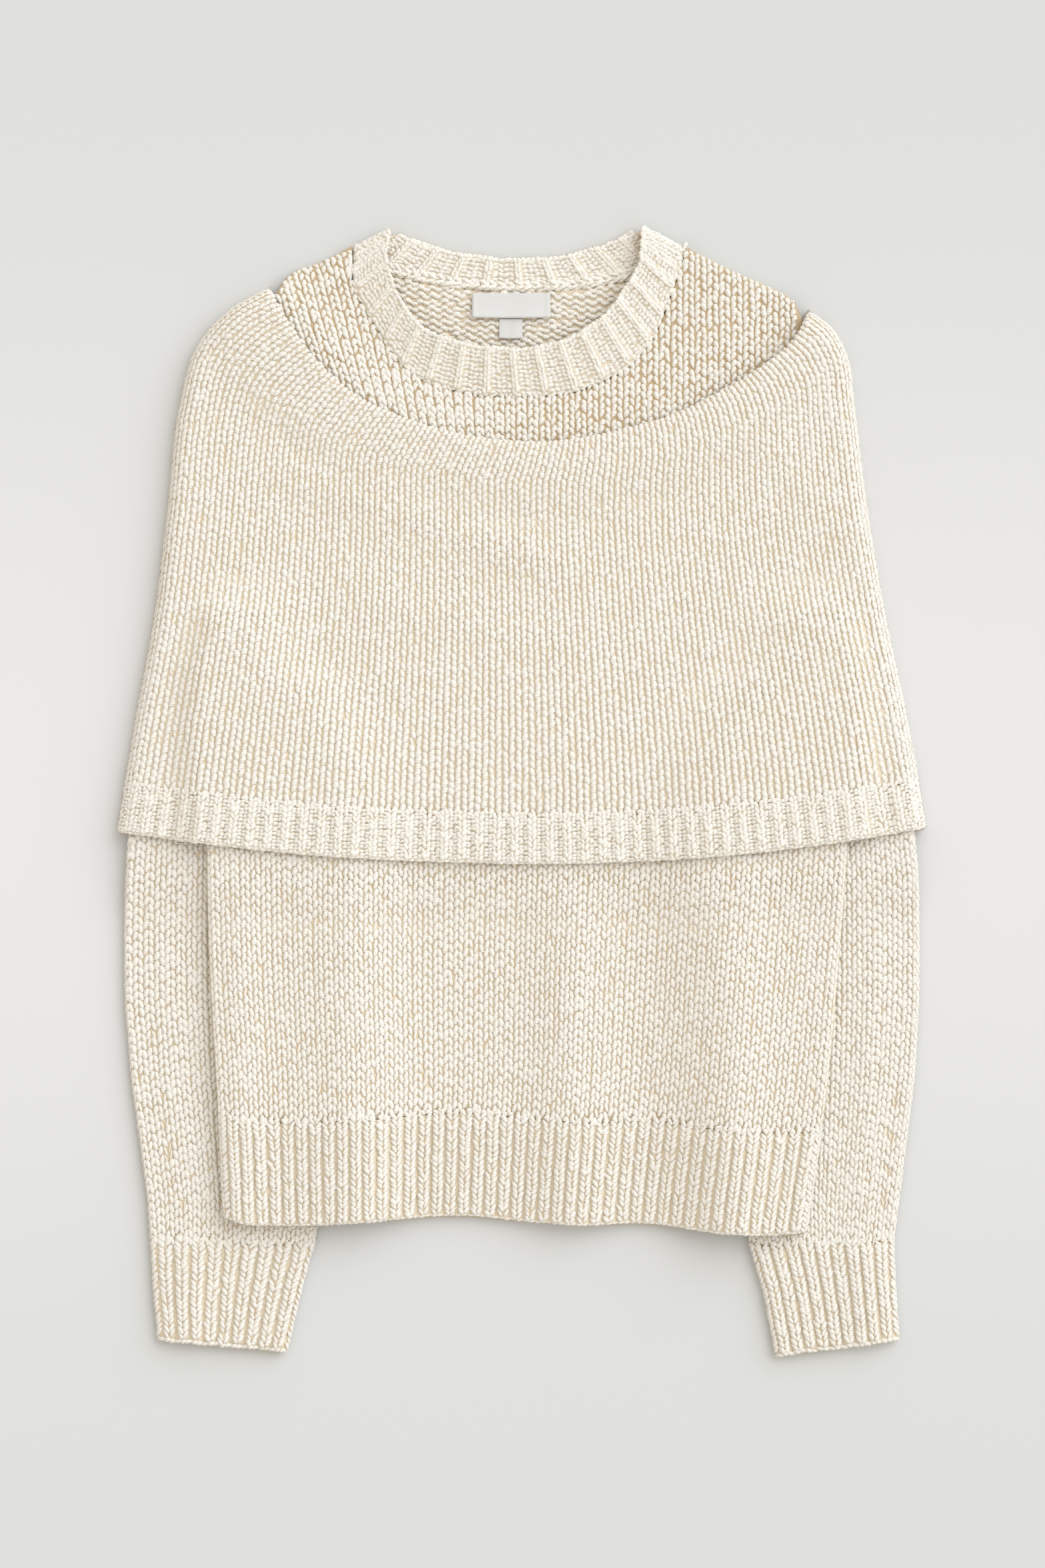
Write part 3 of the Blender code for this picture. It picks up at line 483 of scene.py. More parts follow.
def across(cols):
    return np.array([place if kind == 2 else float(kind) for kind, place in cols])


def skin_row(plan, cols, zone, value, off, level, seam, sign=1):
    """One row of points of a panel's face, off under its outer face. zone and value are
    as in Plan.row, level is the outer face's height and seam that of the turned side."""
    u = across(cols)
    off = np.broadcast_to(np.asarray(off, float), u.shape)
    flat, ends, deep = plan.row(zone, value, u)
    upper = level(flat[:, 0], flat[:, 1], deep)
    low = seam(flat[:, 0], flat[:, 1], deep)
    out = np.zeros((len(cols), 3))
    out[:, :2] = flat
    out[:, 2] = upper - sign * off
    for c, (kind, place) in enumerate(cols):
        if kind == 2:
            continue
        bend = place * math.pi / 2
        inward = off[c] + (plan.turn - off[c]) * (1 - math.cos(bend))
        out[c, :2] = plan.side(kind, ends[kind], inward)
        out[c, 2] = low[c] + (upper[c] - sign * off[c] - low[c]) * math.sin(bend)
    return out


def face_of(plan, cols, rows, level, seam, sign=1, ridges=None):
    """A grid of points from rows of zone, length along it, and depth. sign is -1 where
    the outer face looks down."""
    grid = np.array([skin_row(plan, cols, *row, level, seam, sign) for row in rows])
    if ridges is not None:
        grid[:, :, 2] += ridges
    return grid


def mesh_of(name, points, groups, corners, looks, picks=None):
    """A mesh from points, groups of equal-sided faces and their corners' places in the
    pattern. picks is the number of each face's look."""
    mesh = bpy.data.meshes.new(name)
    points = (np.asarray(points) - CENTRE) * MM
    mesh.vertices.add(len(points))
    mesh.vertices.foreach_set("co", points.astype(np.float32).ravel())
    flat = np.concatenate([g.ravel() for g in groups]).astype(np.int32)
    sizes = np.concatenate([np.full(len(g), g.shape[1]) for g in groups])
    starts = np.concatenate([[0], np.cumsum(sizes)[:-1]]).astype(np.int32)
    mesh.loops.add(len(flat))
    mesh.loops.foreach_set("vertex_index", flat)
    mesh.polygons.add(len(sizes))
    mesh.polygons.foreach_set("loop_start", starts)
    mesh.polygons.foreach_set("use_smooth", np.ones(len(sizes), bool))
    for look in looks:
        mesh.materials.append(look)
    if picks is not None:
        mesh.polygons.foreach_set("material_index", picks.astype(np.int32))
    layer = mesh.uv_layers.new(name="UVMap")
    layer.data.foreach_set("uv", corners.astype(np.float32).ravel())
    mesh.update(calc_edges=True)
    thing = bpy.data.objects.new(name, mesh)
    bpy.context.scene.collection.objects.link(thing)
    return thing


def volume(points, groups):
    """Signed volume of a closed mesh, to tell which way its faces look."""
    total = 0.0
    for g in groups:
        a = points[g[:, 0]]
        for k in range(1, g.shape[1] - 1):
            total += np.einsum("ij,ij->", a, np.cross(points[g[:, k]], points[g[:, k + 1]]))
    return total / 6


def shell(name, outer, inner, looks, cells, loop=False):
    """A closed thin cloth between two grids. cells is how many columns and rows of the
    knit pattern it has. The second of looks is for its inside and its rims."""
    rows, cols = outer.shape[:2]
    step = rows * cols
    points = np.concatenate([outer.reshape(-1, 3), inner.reshape(-1, 3)])
    wide = cols if loop else cols - 1
    r, c = np.meshgrid(np.arange(rows - 1), np.arange(wide), indexing="ij")
    n = (c + 1) % cols
    a, b, d, e = r * cols + c, r * cols + n, (r + 1) * cols + n, (r + 1) * cols + c
    top = np.stack([a, e, d, b], axis=-1).reshape(-1, 4)
    low = np.stack([a, b, d, e], axis=-1).reshape(-1, 4) + step
    line, down = np.arange(wide), np.arange(rows - 1)
    edges = [(row * cols + line, row * cols + (line + 1) % cols, row > 0) for row in (0, rows - 1)]
    if not loop:
        edges += [(down * cols + col, (down + 1) * cols + col, col == 0) for col in (0, cols - 1)]
    rims = []
    for p, q, turned in edges:
        quad = np.stack([p, q, q + step, p + step], axis=-1)
        rims.append(quad[:, ::-1] if turned else quad)
    faces = np.concatenate([top, low, *rims])
    if volume(points, [faces]) < 0:
        faces = faces[:, ::-1]
    mid = (outer + inner) / 2
    u, v = lengths(mid[rows // 2]), lengths(mid[:, cols // 2])
    u, v = u / u[-1] * cells[0], v / v[-1] * cells[1]
    places = np.stack(np.broadcast_arrays(u[None, :], v[:, None]), axis=-1).reshape(-1, 2)
    places = np.concatenate([places, places])[faces]
    if loop:
        around = places[..., 0]
        split = around.max(axis=1) - around.min(axis=1) > cells[0] / 2
        around[split[:, None] & (around < cells[0] / 2)] += cells[0]
    picks = np.zeros(len(faces), int)
    picks[len(top):] = min(1, len(looks) - 1)
    thing = mesh_of(name, points, [faces], places.reshape(-1, 2), looks, picks)
    halves = [np.cross(mid[1:, :-1] - p, mid[:-1, 1:] - p) for p in (mid[:-1, :-1], mid[1:, 1:])]
    area = sum(np.linalg.norm(half, axis=-1).sum() for half in halves) / 2
    thing["area_m2"] = area * (cols / (cols - 1) if loop else 1) * 1e-6
    return thing


def eased(grid, deep, at, reach, times):
    """Rounds the bend that the wales have where two zones of rows meet. deep is each
    point's distance from the rolled edge."""
    out = grid.copy()
    low, high = at - reach, at + reach
    share = smooth((reach - np.abs(np.arange(low, high) - at)) / reach)[:, None, None]
    col = np.arange(grid.shape[1])
    share = share * smooth((np.minimum(col, col[::-1]) - 9) / 16.0)[None, :, None]
    flat = out[..., :2]
    for _ in range(times):
        part = (flat[low - 1:high - 1] + 2 * flat[low:high] + flat[low + 1:high + 1]) / 4
        flat[low:high] += (part - flat[low:high]) * share
    moved = deep + grid[..., 1] - out[..., 1]
    out[..., 2] += cape_top(out[..., 0], out[..., 1], moved)
    out[..., 2] -= cape_top(grid[..., 0], grid[..., 1], deep)
    return out


class Skin:
    """A face of the cloth that yarn lies on: rows run up the wales, columns across."""

    def __init__(self, grid):
        self.grid = grid
        du = np.gradient(grid, axis=1)
        dv = np.gradient(grid, axis=0)
        self.normal = unit(np.cross(du, dv))
        if self.normal[..., 2].mean() < 0:
            self.normal = -self.normal
        run = np.linalg.norm(np.diff(grid[len(grid) // 2], axis=0), axis=1)
        self.wide = run.sum()
        self.s = np.concatenate([[0], np.cumsum(run)]) / self.wide
        self.spread = np.linalg.norm(np.diff(grid, axis=1), axis=2).sum(axis=1) / self.wide

    def lane(self, s):
        """Length up the cloth at each row, along the wale at s."""
        c = np.interp(s, self.s, np.arange(len(self.s)))
        i = int(min(c, len(self.s) - 2))
        line = self.grid[:, i] * (1 - c + i) + self.grid[:, i + 1] * (c - i)
        return lengths(line)

    def at(self, s, r, high):
        """Points and upward directions at s across and row r, high over the face."""
        rows, cols = self.grid.shape[:2]
        c = np.interp(s, self.s, np.arange(cols))
        i = np.clip(c.astype(int), 0, cols - 2)
        j = np.clip(r.astype(int), 0, rows - 2)
        fc, fr = (c - i)[..., None], (r - j)[..., None]

        def mix(a):
            low = a[j, i] * (1 - fc) + a[j, i + 1] * fc
            up = a[j + 1, i] * (1 - fc) + a[j + 1, i + 1] * fc
            return low * (1 - fr) + up * fr

        normal = unit(mix(self.normal))
        return mix(self.grid) + normal * np.asarray(high)[..., None], normal


class Yarns:
    """Collects short lengths of yarn and makes one mesh of them."""

    def __init__(self):
        self.parts = []

    def add(self, line, up, wide, thick, sides, shade):
        """line and up are n, k, 3, with the first and last points as tips. wide and thick
        are half sizes for each inner point, and shade a number for each length."""
        n, k = line.shape[:2]
        if n == 0:
            return
        tangent = unit(np.gradient(line, axis=1))
        side = unit(np.cross(tangent, up))
        rise = unit(np.cross(side, tangent))
        turn = 2 * math.pi * (np.arange(sides) + 0.25) / sides
        wide = np.broadcast_to(wide, (n, k - 2))[:, :, None, None]
        thick = np.broadcast_to(thick, (n, k - 2))[:, :, None, None]
        rings = line[:, 1:-1, None] + side[:, 1:-1, None] * wide * np.cos(turn)[:, None]
        rings = rings + rise[:, 1:-1, None] * thick * np.sin(turn)[:, None]
        points = np.concatenate([line[:, :1], rings.reshape(n, -1, 3), line[:, -1:]], axis=1)
        self.parts.append((points, sides, k - 2, shade))

    def strands(self, line, up, half, thick, taper, sides, rng):
        """Adds yarns that differ in thickness and are thinner at both ends, as taper says."""
        taper, fat = np.array(taper)[None], 1 + rng.normal(0, 0.1, (len(line), 1))
        self.add(line, up, half * taper * fat, thick * taper * fat, sides, rng.random(len(line)) * 7)

    def make(self, name, look):
        """The mesh. Its pattern runs around each yarn in u and along it in v."""
        points, quads, tris, quad_uv, tri_uv = [], [], [], [], []
        start = 0
        for block, sides, rings, shade in self.parts:
            n, size = block.shape[:2]
            base = (start + size * np.arange(n))[:, None, None]
            lag = np.stack([0 * shade, shade], axis=-1)[:, None, None]
            along = (np.arange(rings) + 1.0) / (rings + 1)
            a, r = np.meshgrid(np.arange(sides), np.arange(rings - 1))
            turns = ((0, 0), (0, 1), (1, 1), (1, 0))
            quad = [1 + (r + up) * sides + (a + on) % sides for on, up in turns]
            spots = [np.stack([(a + on) / sides, along[r + up]], axis=-1) for on, up in turns]
            quads.append((base + np.stack(quad, axis=-1).reshape(-1, 4)).reshape(-1, 4))
            spots = np.stack(spots, axis=-2).reshape(-1, 4, 2)
            quad_uv.append((spots[None] + lag).reshape(-1, 4, 2))
            a = np.arange(sides)
            tips = ((0, 1, 0.0, along[0], (0, 1)), (size - 1, size - 1 - sides, 1.0, along[-1], (1, 0)))
            fan, spots = [], []
            for tip, ring, tip_v, ring_v, order in tips:
                corners = [ring + (a + on) % sides for on in order]
                fan.append(np.stack([np.full(sides, tip), *corners], axis=-1))
                across_it = [(a + on) / sides for on in (0.5, *order)]
                heights = (tip_v, ring_v, ring_v)
                pairs = [np.stack([u, np.full(sides, v)], axis=-1) for u, v in zip(across_it, heights)]
                spots.append(np.stack(pairs, axis=-2))
            tris.append((base + np.concatenate(fan)).reshape(-1, 3))
            tri_uv.append((np.concatenate(spots)[None] + lag).reshape(-1, 3, 2))
            points.append(block.reshape(-1, 3))
            start += n * size
        points = np.concatenate(points)
        groups = [np.concatenate(quads), np.concatenate(tris)]
        uvs = [np.concatenate(quad_uv), np.concatenate(tri_uv)]
        size = self.parts[0][0].shape[1]
        first = [g[(g < size).all(axis=1)] for g in groups]
        if volume(points[:size] - points[0], first) < 0:
            groups = [g[:, ::-1] for g in groups]
            uvs = [v[:, ::-1] for v in uvs]
        corners = np.concatenate([v.reshape(-1, 2) for v in uvs])
        return mesh_of(name, points, groups, corners, [look])


def slub(rng, wales, rows):
    """Thick and thin places: a number for each stitch. A column more is drawn on both
    sides and left out."""
    return rng.normal(0, 1, (rows, wales + 2))[:, 1:-1]


# Where along a stitch's leg its points are, and how full the yarn is at the inner ones of
# a wrong-side stitch.
LEG_AT = np.array([0.0, 0.12, 0.38, 0.66, 0.9, 1.0])
PURL_FULL = (0.74, 1.0, 1.0, 0.72)


def even(n):
    """Middles and widths of n equal columns, as shares of the whole."""
    return (np.arange(n) + 0.5) / n, np.full(n, 1 / n)


def rows_up(table, y):
    """Row numbers of the heights y along a wale, inside its length."""
    return np.interp(y, table, np.arange(len(table)))


def knit(yarns, skin, centres, room, pitch, rng, legs, half, thick, span, first=0.0,
         keep=None, uneven=1.0, drift=0.5, tips=0.84, thin=0.0, dip=0.6, most=90):
    """Columns of V stitches. centres and room are where each column stands across and
    how wide it is, as shares of the skin; legs is how far each leg stands off the
    middle at its foot and head, as shares of the column; span is where it starts and
    stops, in rows. keep gives the weight of a stitch at a place, 0 for none."""
    noise = slub(rng, len(centres), most)
    for k, s0 in enumerate(centres):
        table = skin.lane(s0)
        rows = min(most, max(1, int(round((table[-1] - first) / pitch))))
        step = (table[-1] - first) / rows
        y0 = first + (np.arange(rows) + 0.5 + rng.uniform(-0.5, 0.5) * drift) * step
        weight = np.ones(rows)
        if keep is not None:
            place, _ = skin.at(np.full(rows, s0), rows_up(table, y0), np.zeros(rows))
            weight = np.asarray(keep(place), float)
        good = weight > 0
        n = int(good.sum())
        if n == 0:
            continue
        size = 1 + 0.13 * uneven * np.clip(noise[:rows, k], -1.6, 2.0)
        for side in (-1, 1):
            fat = size[good] * (1 + rng.normal(0, 0.05 * uneven, n)) * weight[good]
            fat = fat * np.where(rng.random(n) < thin, 0.68, 1.0)
            jog = rng.normal(0, 0.035 * uneven, (n, 1))
            lean = rng.normal(0, 0.03 * uneven, (n, 1))
            t = LEG_AT[None]
            off = legs[0] + (legs[1] - legs[0]) * smooth(t)
            s = s0 + (side * (off + lean * (t - 0.4)) + jog) * room[k]
            slip = rng.normal(0, 0.09 * uneven, (n, 1)) + 0.25 * side * drift
            y = y0[good][:, None] + (span[0] + (span[1] - span[0]) * t + slip) * step
            r = rows_up(table, y)
            high = -thick - 0.15 * (1 - t) ** 2 - dip * t ** 3
            high = high + rng.normal(0, 0.1 * uneven, (n, 1))
            line, up = skin.at(s, r, high)
            full = np.array([tips, 1.0, 1.0, tips])[None]
            local = np.interp(r[:, 2], np.arange(len(skin.spread)), skin.spread)
            wide = half * full * (fat * np.clip(local, 0.8, 1.3))[:, None]
            deep = thick * full * (0.5 + 0.5 * fat[:, None])
            yarns.add(line, up, wide, deep, 5, rng.random(n) * 7)


def bumps(yarns, skin, centres, room, pitch, rng, half, thick, sink, slant, first=0.0):
    """Columns of short yarns lying across, as the wrong side of the stitches shows."""
    t = np.array([0.0, 0.2, 0.5, 0.8, 1.0])[None]
    bow = (2 * t - 1) ** 2
    for k, s0 in enumerate(centres):
        table = skin.lane(s0)
        n = max(1, int(round((table[-1] - first) / pitch)))
        step = (table[-1] - first) / n
        y0 = first + (np.arange(n) + 0.5 + (0.25 if k % 2 else -0.25)) * step
        s = s0 + (t - 0.5 + rng.normal(0, 0.05, (n, 1))) * room[k]
        tilt = (slant + rng.normal(0, 0.3, (n, 1))) * (t - 0.5)
        y = y0[:, None] + (0.3 * (1 - bow) + tilt + rng.normal(0, 0.12, (n, 1))) * step
        high = -thick - sink - 0.45 * bow + rng.normal(0, 0.1, (n, 1))
        yarns.strands(*skin.at(s, rows_up(table, y), high), half, thick, (0.85, 1.0, 0.85), 4, rng)


def edging(yarns, skin, height, rng, long, half, thick=1.3, slant=0.9, sink=0.2):
    """A chain of yarns along an edge of the cloth, at a height up its wales."""
    table = skin.lane(0.5)
    n = max(2, int(skin.wide / long))
    t = np.array([0.0, 0.15, 0.5, 0.85, 1.0])[None]
    middle = (np.arange(n) + 0.5) / n
    s = middle[:, None] + (t - 0.5) * (1 / n * 1.35)
    y = height + slant * (t - 0.5) * 2 + rng.normal(0, 0.25, (n, 1))
    high = -thick - sink - 0.8 * (2 * t - 1) ** 2 + rng.normal(0, 0.12, (n, 1))
    line, up = skin.at(np.clip(s, 0, 1), rows_up(table, y), high)
    yarns.strands(line, up, half, thick, (0.8, 1.0, 0.8), 5, rng)


class Look:
    """A material and short ways to add nodes to it. Inputs are given by name or number,
    as constants or as outputs of other nodes."""

    def __init__(self, name, inputs):
        self.made = bpy.data.materials.new(name)
        self.made.use_nodes = True
        self.tree = self.made.node_tree
        self.shader = self.tree.nodes["Principled BSDF"]
        self.fill(self.shader, inputs)
        self.spot = self.add("TexCoord", {}).outputs

    def fill(self, node, inputs):
        for key, value in inputs.items():
            if isinstance(value, bpy.types.NodeSocket):
                self.tree.links.new(value, node.inputs[key])
            else:
                node.inputs[key].default_value = value

    def add(self, kind, inputs, **settings):
        node = self.tree.nodes.new("ShaderNode" + kind)
        for key, value in settings.items():
            setattr(node, key, value)
        self.fill(node, inputs)
        return node

    def calc(self, operation, *values):
        return self.add("Math", dict(enumerate(values)), operation=operation).outputs[0]

    def split(self, which):
        return self.add("SeparateXYZ", {"Vector": self.spot[which]}).outputs

    def noise(self, scale, detail=2.0):
        inputs = {"Scale": scale, "Detail": detail, "Vector": self.spot["Object"]}
        return self.add("TexNoise", inputs).outputs["Fac"]

    def ramp(self, value, start, dark, end, light, blend="LINEAR"):
        node = self.add("ValToRGB", {"Fac": value})
        node.color_ramp.interpolation = blend
        for i, (place, colour) in enumerate(((start, dark), (end, light))):
            node.color_ramp.elements[i].position = place
            node.color_ramp.elements[i].color = (*colour, 1)
        return node.outputs["Color"]

    def finish(self, colour, height=None, strength=0.0, distance=0.0):
        inputs = {"Base Color": colour}
        if height is not None:
            relief = {"Strength": strength, "Distance": distance, "Height": height}
            inputs["Normal"] = self.add("Bump", relief).outputs["Normal"]
        self.fill(self.shader, inputs)
        return self.made


def yarn_look(name, light, deep, flank, bump=0.35):
    """Soft cotton yarn: uneven cream colour, flanks and underside painted a darker tan as painted shade,
    slanting plies, fine fibre.
    """
    look = Look(name, {
        "Roughness": 0.86, "Specular IOR Level": 0.22, "Sheen Weight": 0.12, "Sheen Roughness": 0.5,
    })
    cream = look.ramp(look.noise(95.0, 3.0), 0.32, deep, 0.62, light)
    u, v = look.split("UV")[:2]
    # Painted shade: away from the yarn's crown, on its flanks and underside, the colour turns to the darker
    # tan flank colour.
    crown = look.calc("COSINE", look.calc("MULTIPLY_ADD", u, 2 * math.pi, -0.4 * math.pi))
    inputs = {"Value": crown, "From Min": 0.6, "From Max": -0.2, "To Min": 0.0, "To Max": 1.0}
    under = look.add("MapRange", inputs, interpolation_type="SMOOTHSTEP").outputs["Result"]
    inputs = {"Factor": under, "A": cream, "B": (*flank, 1)}
    shaded_colour = look.add("Mix", inputs, data_type="RGBA").outputs["Result"]
    plies = look.calc("MULTIPLY", look.calc("MULTIPLY_ADD", v, 2.6, u), 4 * math.pi)
    relief = look.calc("MULTIPLY_ADD", look.noise(900.0), 1.4, look.calc("SINE", plies))
    return look.finish(shaded_colour, relief, bump, 0.0004)


def cloth_look(name, light, deep, purl=False, bump=0.8):
    """Knitted cloth as relief: columns of slanting stitches, or rows of arcs."""
    look = Look(name, {"Roughness": 0.9, "Specular IOR Level": 0.2, "Sheen Weight": 0.1})
    calc = look.calc
    u, v = look.split("UV")[:2]
    if purl:
        u, v = v, u
    across_wale = calc("ABSOLUTE", calc("MULTIPLY_ADD", calc("FRACT", u), 2.0, -1.0))
    slant = calc("FRACT", calc("MULTIPLY_ADD", across_wale, 0.8, v))
    leg = calc("SINE", calc("MULTIPLY", slant, math.pi))
    body = calc("SINE", calc("MULTIPLY", across_wale, math.pi))
    height = calc("MULTIPLY", calc("POWER", leg, 0.6), calc("POWER", body, 0.5))
    total = calc("MULTIPLY_ADD", look.noise(420.0, 3.0), 0.35, height)
    # Painted shade: the colour runs from deep in the low places of the relief to light on its high ones,
    # darker in the knit's recesses.
    return look.finish(look.ramp(total, 0.1, deep, 0.95, light), total, bump, 0.0016)


def satin_look(name, light, deep):
    """Woven ribbon: a fine twill with a soft shine."""
    look = Look(name, {"Roughness": 0.42, "Specular IOR Level": 0.45, "Sheen Weight": 0.1})
    inputs = {"Scale": 620.0, "Distortion": 0.6, "Vector": look.spot["Object"]}
    weave = look.add("TexWave", inputs, bands_direction="DIAGONAL").outputs["Fac"]
    colour = look.ramp(look.noise(60.0), 0.0, deep, 1.0, light)
    return look.finish(colour, weave, 0.25, 0.00012)


# The third colour of each yarn look is painted shade on the yarn's flanks and underside.
YARN_LOOK = yarn_look("cream_yarn", (0.89, 0.86, 0.80), (0.875, 0.838, 0.768), (0.87, 0.75, 0.56))
# Painted shade: the base cloths under the stitches are tan, darker than the yarn, for the shade seen through
# the holes between stitches; the yoke's is darkest and the hem's lightest.
BASE_LOOK = cloth_look("base_cloth", (0.78, 0.68, 0.52), (0.715, 0.61, 0.445), bump=0.3)
# Painted light: a lighter copy of the cream yarn for the cape's hem and the collar, for the lesser shade
# between their dense stitches.
LIGHTER_RIB_LOOK = yarn_look("rib_yarn_painted_lighter", (0.93, 0.90, 0.835), (0.912, 0.878, 0.805), (0.90, 0.785, 0.60))
OPEN_LOOK = cloth_look("open_cloth", (0.77, 0.66, 0.495), (0.70, 0.59, 0.42), bump=0.3)
YOKE_SHADE_LOOK = cloth_look("yoke_shade_cloth", (0.60, 0.465, 0.295), (0.53, 0.40, 0.245), bump=0.3)
HEM_LOOK = cloth_look("hem_cloth", (0.80, 0.71, 0.56), (0.745, 0.645, 0.485), bump=0.3)
KNIT_LOOK = cloth_look("knit_cloth", (0.88, 0.83, 0.72), (0.62, 0.52, 0.37))
PURL_LOOK = cloth_look("purl_cloth", (0.87, 0.81, 0.70), (0.62, 0.52, 0.37), purl=True)
RIBBON_LOOK = satin_look("satin_ribbon", (0.72, 0.72, 0.715), (0.68, 0.68, 0.675))
THREAD_LOOK = yarn_look("thread", (0.62, 0.62, 0.60), (0.52, 0.52, 0.50), (0.5, 0.5, 0.48), bump=0.2)

# Settings of the stitches, as knit takes them.
CAPE_KNIT = dict(
    legs=(0.165, 0.33), half=1.78, thick=1.0, span=(-0.3, 1.16), uneven=0.7, drift=0.8, thin=0.05, tips=0.66,
)
BODY_KNIT = dict(
    legs=(0.15, 0.36), half=1.66, thick=0.92, span=(-0.16, 1.08), uneven=0.7, drift=0.8, thin=0.05, tips=0.72,
)
CAPE_RIB_KNIT = dict(legs=(0.08, 0.34), half=1.6, thick=0.95, span=(-0.25, 1.15), first=2.0)
HEM_KNIT = dict(legs=(0.07, 0.39), half=1.5, thick=0.9, span=(-0.3, 1.25), first=2.0, dip=0.4)
CUFF_KNIT = dict(legs=(0.07, 0.39), half=1.55, thick=0.95, span=(-0.3, 1.25), first=1.0, dip=0.4)
COLLAR_KNIT = dict(legs=(0.14, 0.28), half=1.35, thick=0.9, span=(-0.3, 1.2))
COLLAR_END_KNIT = dict(legs=(0.1, 0.4), half=1.4, thick=0.9, span=(-0.3, 1.2))


def place(thing, slot, nodes=()):
    """Attaches a piece to the root body and hides the model's nodes that it stands in for. slot is not used.
    """
    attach(thing, "root")
    if nodes:
        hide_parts(*nodes)


# The cape's front: from its hem seam up, over the rolled edge and down the facing.
cape = Plan(CAPE_LEFT, CAPE_RIGHT, CAPE_FOLD, CAPE_HEM, CAPE_TURN, *CAPE_LEVEL)


def cape_seam(x, y, deep):
    return np.full(np.shape(x), CLOTH + SEAM_GAP)


def cape_rows(d, cols, levels, bends, facing=True, under=0.0):
    """Rows d under the cape's face. under is how far they run on under its hem."""
    u = across(cols)
    low, size = cape.low(u), cape.long(u)
    start = CAPE_HEM_DEEP + SEAM_GAP / 2 - under
    near = FACING + FACING_SLOPE[0]
    rows = [("foot", start + (low - start) * f, d) for f in (0.0, 0.35, 0.7)]
    rows += [("level", y, d) for y in levels]
    rows += [("top", near + (size - near) * f, d) for f in np.linspace(0.92, 0.0, 10)]
    rows += [("top", down, d) for down in (20.0, 14.0, 9.0)]
    radius = ROLLED - d
    for turn in np.radians(bends):
        rows.append(("top", ROLLED - radius * math.sin(turn), ROLLED - radius * math.cos(turn)))
    if facing:
        rows += [("top", down, PAIR - d) for down in (8.0, 12.0, 17.0, FACING)]
    return rows


def cape_front_cloth():
    cols = columns(np.linspace(0, 1, 64))
    levels = np.arange(CAPE_LEVEL[1], CAPE_LEVEL[0] + 0.1, 12.0)
    bends = (0, 30, 60, 90, 120, 150, 180)
    rows = [cape_rows(d, cols, levels, bends) for d in (YARN, CLOTH)]
    pair = [face_of(cape, cols, part, cape_top, cape_seam) for part in rows]
    place(shell("cape_front_cloth", *pair, [BASE_LOOK, PURL_LOOK], (65, 48)), "knit", ["cape_front"])


def cape_stitches():
    cols = columns(np.linspace(0, 1, 120), 8)
    levels = np.arange(CAPE_LEVEL[1], CAPE_LEVEL[0] + 0.1, 6.0)
    rows = cape_rows(0.0, cols, levels, (0, 20, 40, 60, 80, 100, 120), False, 2.0)
    grid = face_of(cape, cols, rows, cape_top, cape_seam)
    from_edge = np.array([cape.row(zone, value, across(cols))[2] for zone, value, _ in rows])
    skin = Skin(eased(grid, from_edge, at=3 + len(levels), reach=9, times=40))
    centres, widths = even(int(round(skin.wide / WALE)))
    rng = np.random.default_rng(11)
    for side, part in zip(("left", "right"), np.array_split(np.arange(len(centres)), 2)):
        yarns = Yarns()
        knit(yarns, skin, centres[part], widths[part], COURSE, rng, **CAPE_KNIT)
        place(yarns.make(f"cape_stitches_{side}", YARN_LOOK), "knit")


cape_front_cloth()
cape_stitches()


def rib_profile(frac, crest, flat, slope):
    """The height of a rib: flat is half its top's width, slope how wide each flank is."""
    away = np.abs((frac - crest + 0.5) % 1.0 - 0.5)
    return RIB_RISE * (1 - smooth((away - flat) / slope))


def hem_rows(deep, d, n):
    """Rows d under a hem's face, from its rounded lower edge up."""
    rows = []
    for turn in np.radians((90, 60, 30, 0)):
        value = CLOTH - (CLOTH - d) * math.sin(turn)
        rows.append(("foot", value, d + 0.78 * (CLOTH - d) * (1 - math.cos(turn))))
    rows += [("foot", value, d) for value in np.linspace(CLOTH + 3.0, deep - SEAM_GAP / 2, n)]
    return rows


def hem(name, plan, ribs, deep, level, seam, node, shape, n):
    """A ribbed hem's base cloth. Returns the face its yarn lies on, and the places and
    widths of its ribs and of the valleys between them."""
    turns = 4
    cols = columns(np.linspace(0, 1, ribs * 6 + 1), turns)
    u = across(cols)
    ridges = rib_profile(u * ribs, *shape)
    ridges[:turns] = 0
    ridges[-turns:] = 0

    def ribbed(rows):
        size = np.array([row[1] for row in rows])
        faded = (1 - 0.7 * smooth((size - deep + 9.0) / 9.0))[:, None] * ridges
        return face_of(plan, cols, rows, level, seam, 1, faded)

    outer = ribbed(hem_rows(deep, YARN, n))
    inner = face_of(plan, cols, hem_rows(deep, CLOTH, n), level, seam)
    inner[0] = (inner[0] + outer[0]) / 2
    place(shell(name, outer, inner, [HEM_LOOK, PURL_LOOK], (ribs * 2, deep / 4)), "rib", [node])
    top = Skin(ribbed(hem_rows(deep + 2.2, 0.0, n * 2)))
    spots = [(np.arange(ribs) + part) / ribs for part in (shape[0], VALLEY)]
    return top, *spaced(*(np.interp(spot, u[turns:-turns], top.s[turns:-turns]) for spot in spots))


def spaced(at, gaps):
    """Adds ribs past both ends of a hem, on its turned sides."""
    before, after = at[1] - at[0], at[-1] - at[-2]
    at, gaps = list(at), list(gaps)
    while at[0] > 0.6 * before:
        at.insert(0, max(at[0] - before, 0.25 * before))
        gaps.insert(0, gaps[0] - before)
    while 1 - at[-1] > 0.6 * after:
        at.append(min(at[-1] + after, 1 - 0.25 * after))
    while gaps[-1] + after < 1 - 0.15 * after:
        gaps.append(gaps[-1] + after)
    at, gaps = np.array(at), np.array([g for g in gaps if g > 0.1 * before])
    return at, gaps, np.full(len(at), np.median(np.diff(at))), np.gradient(gaps)


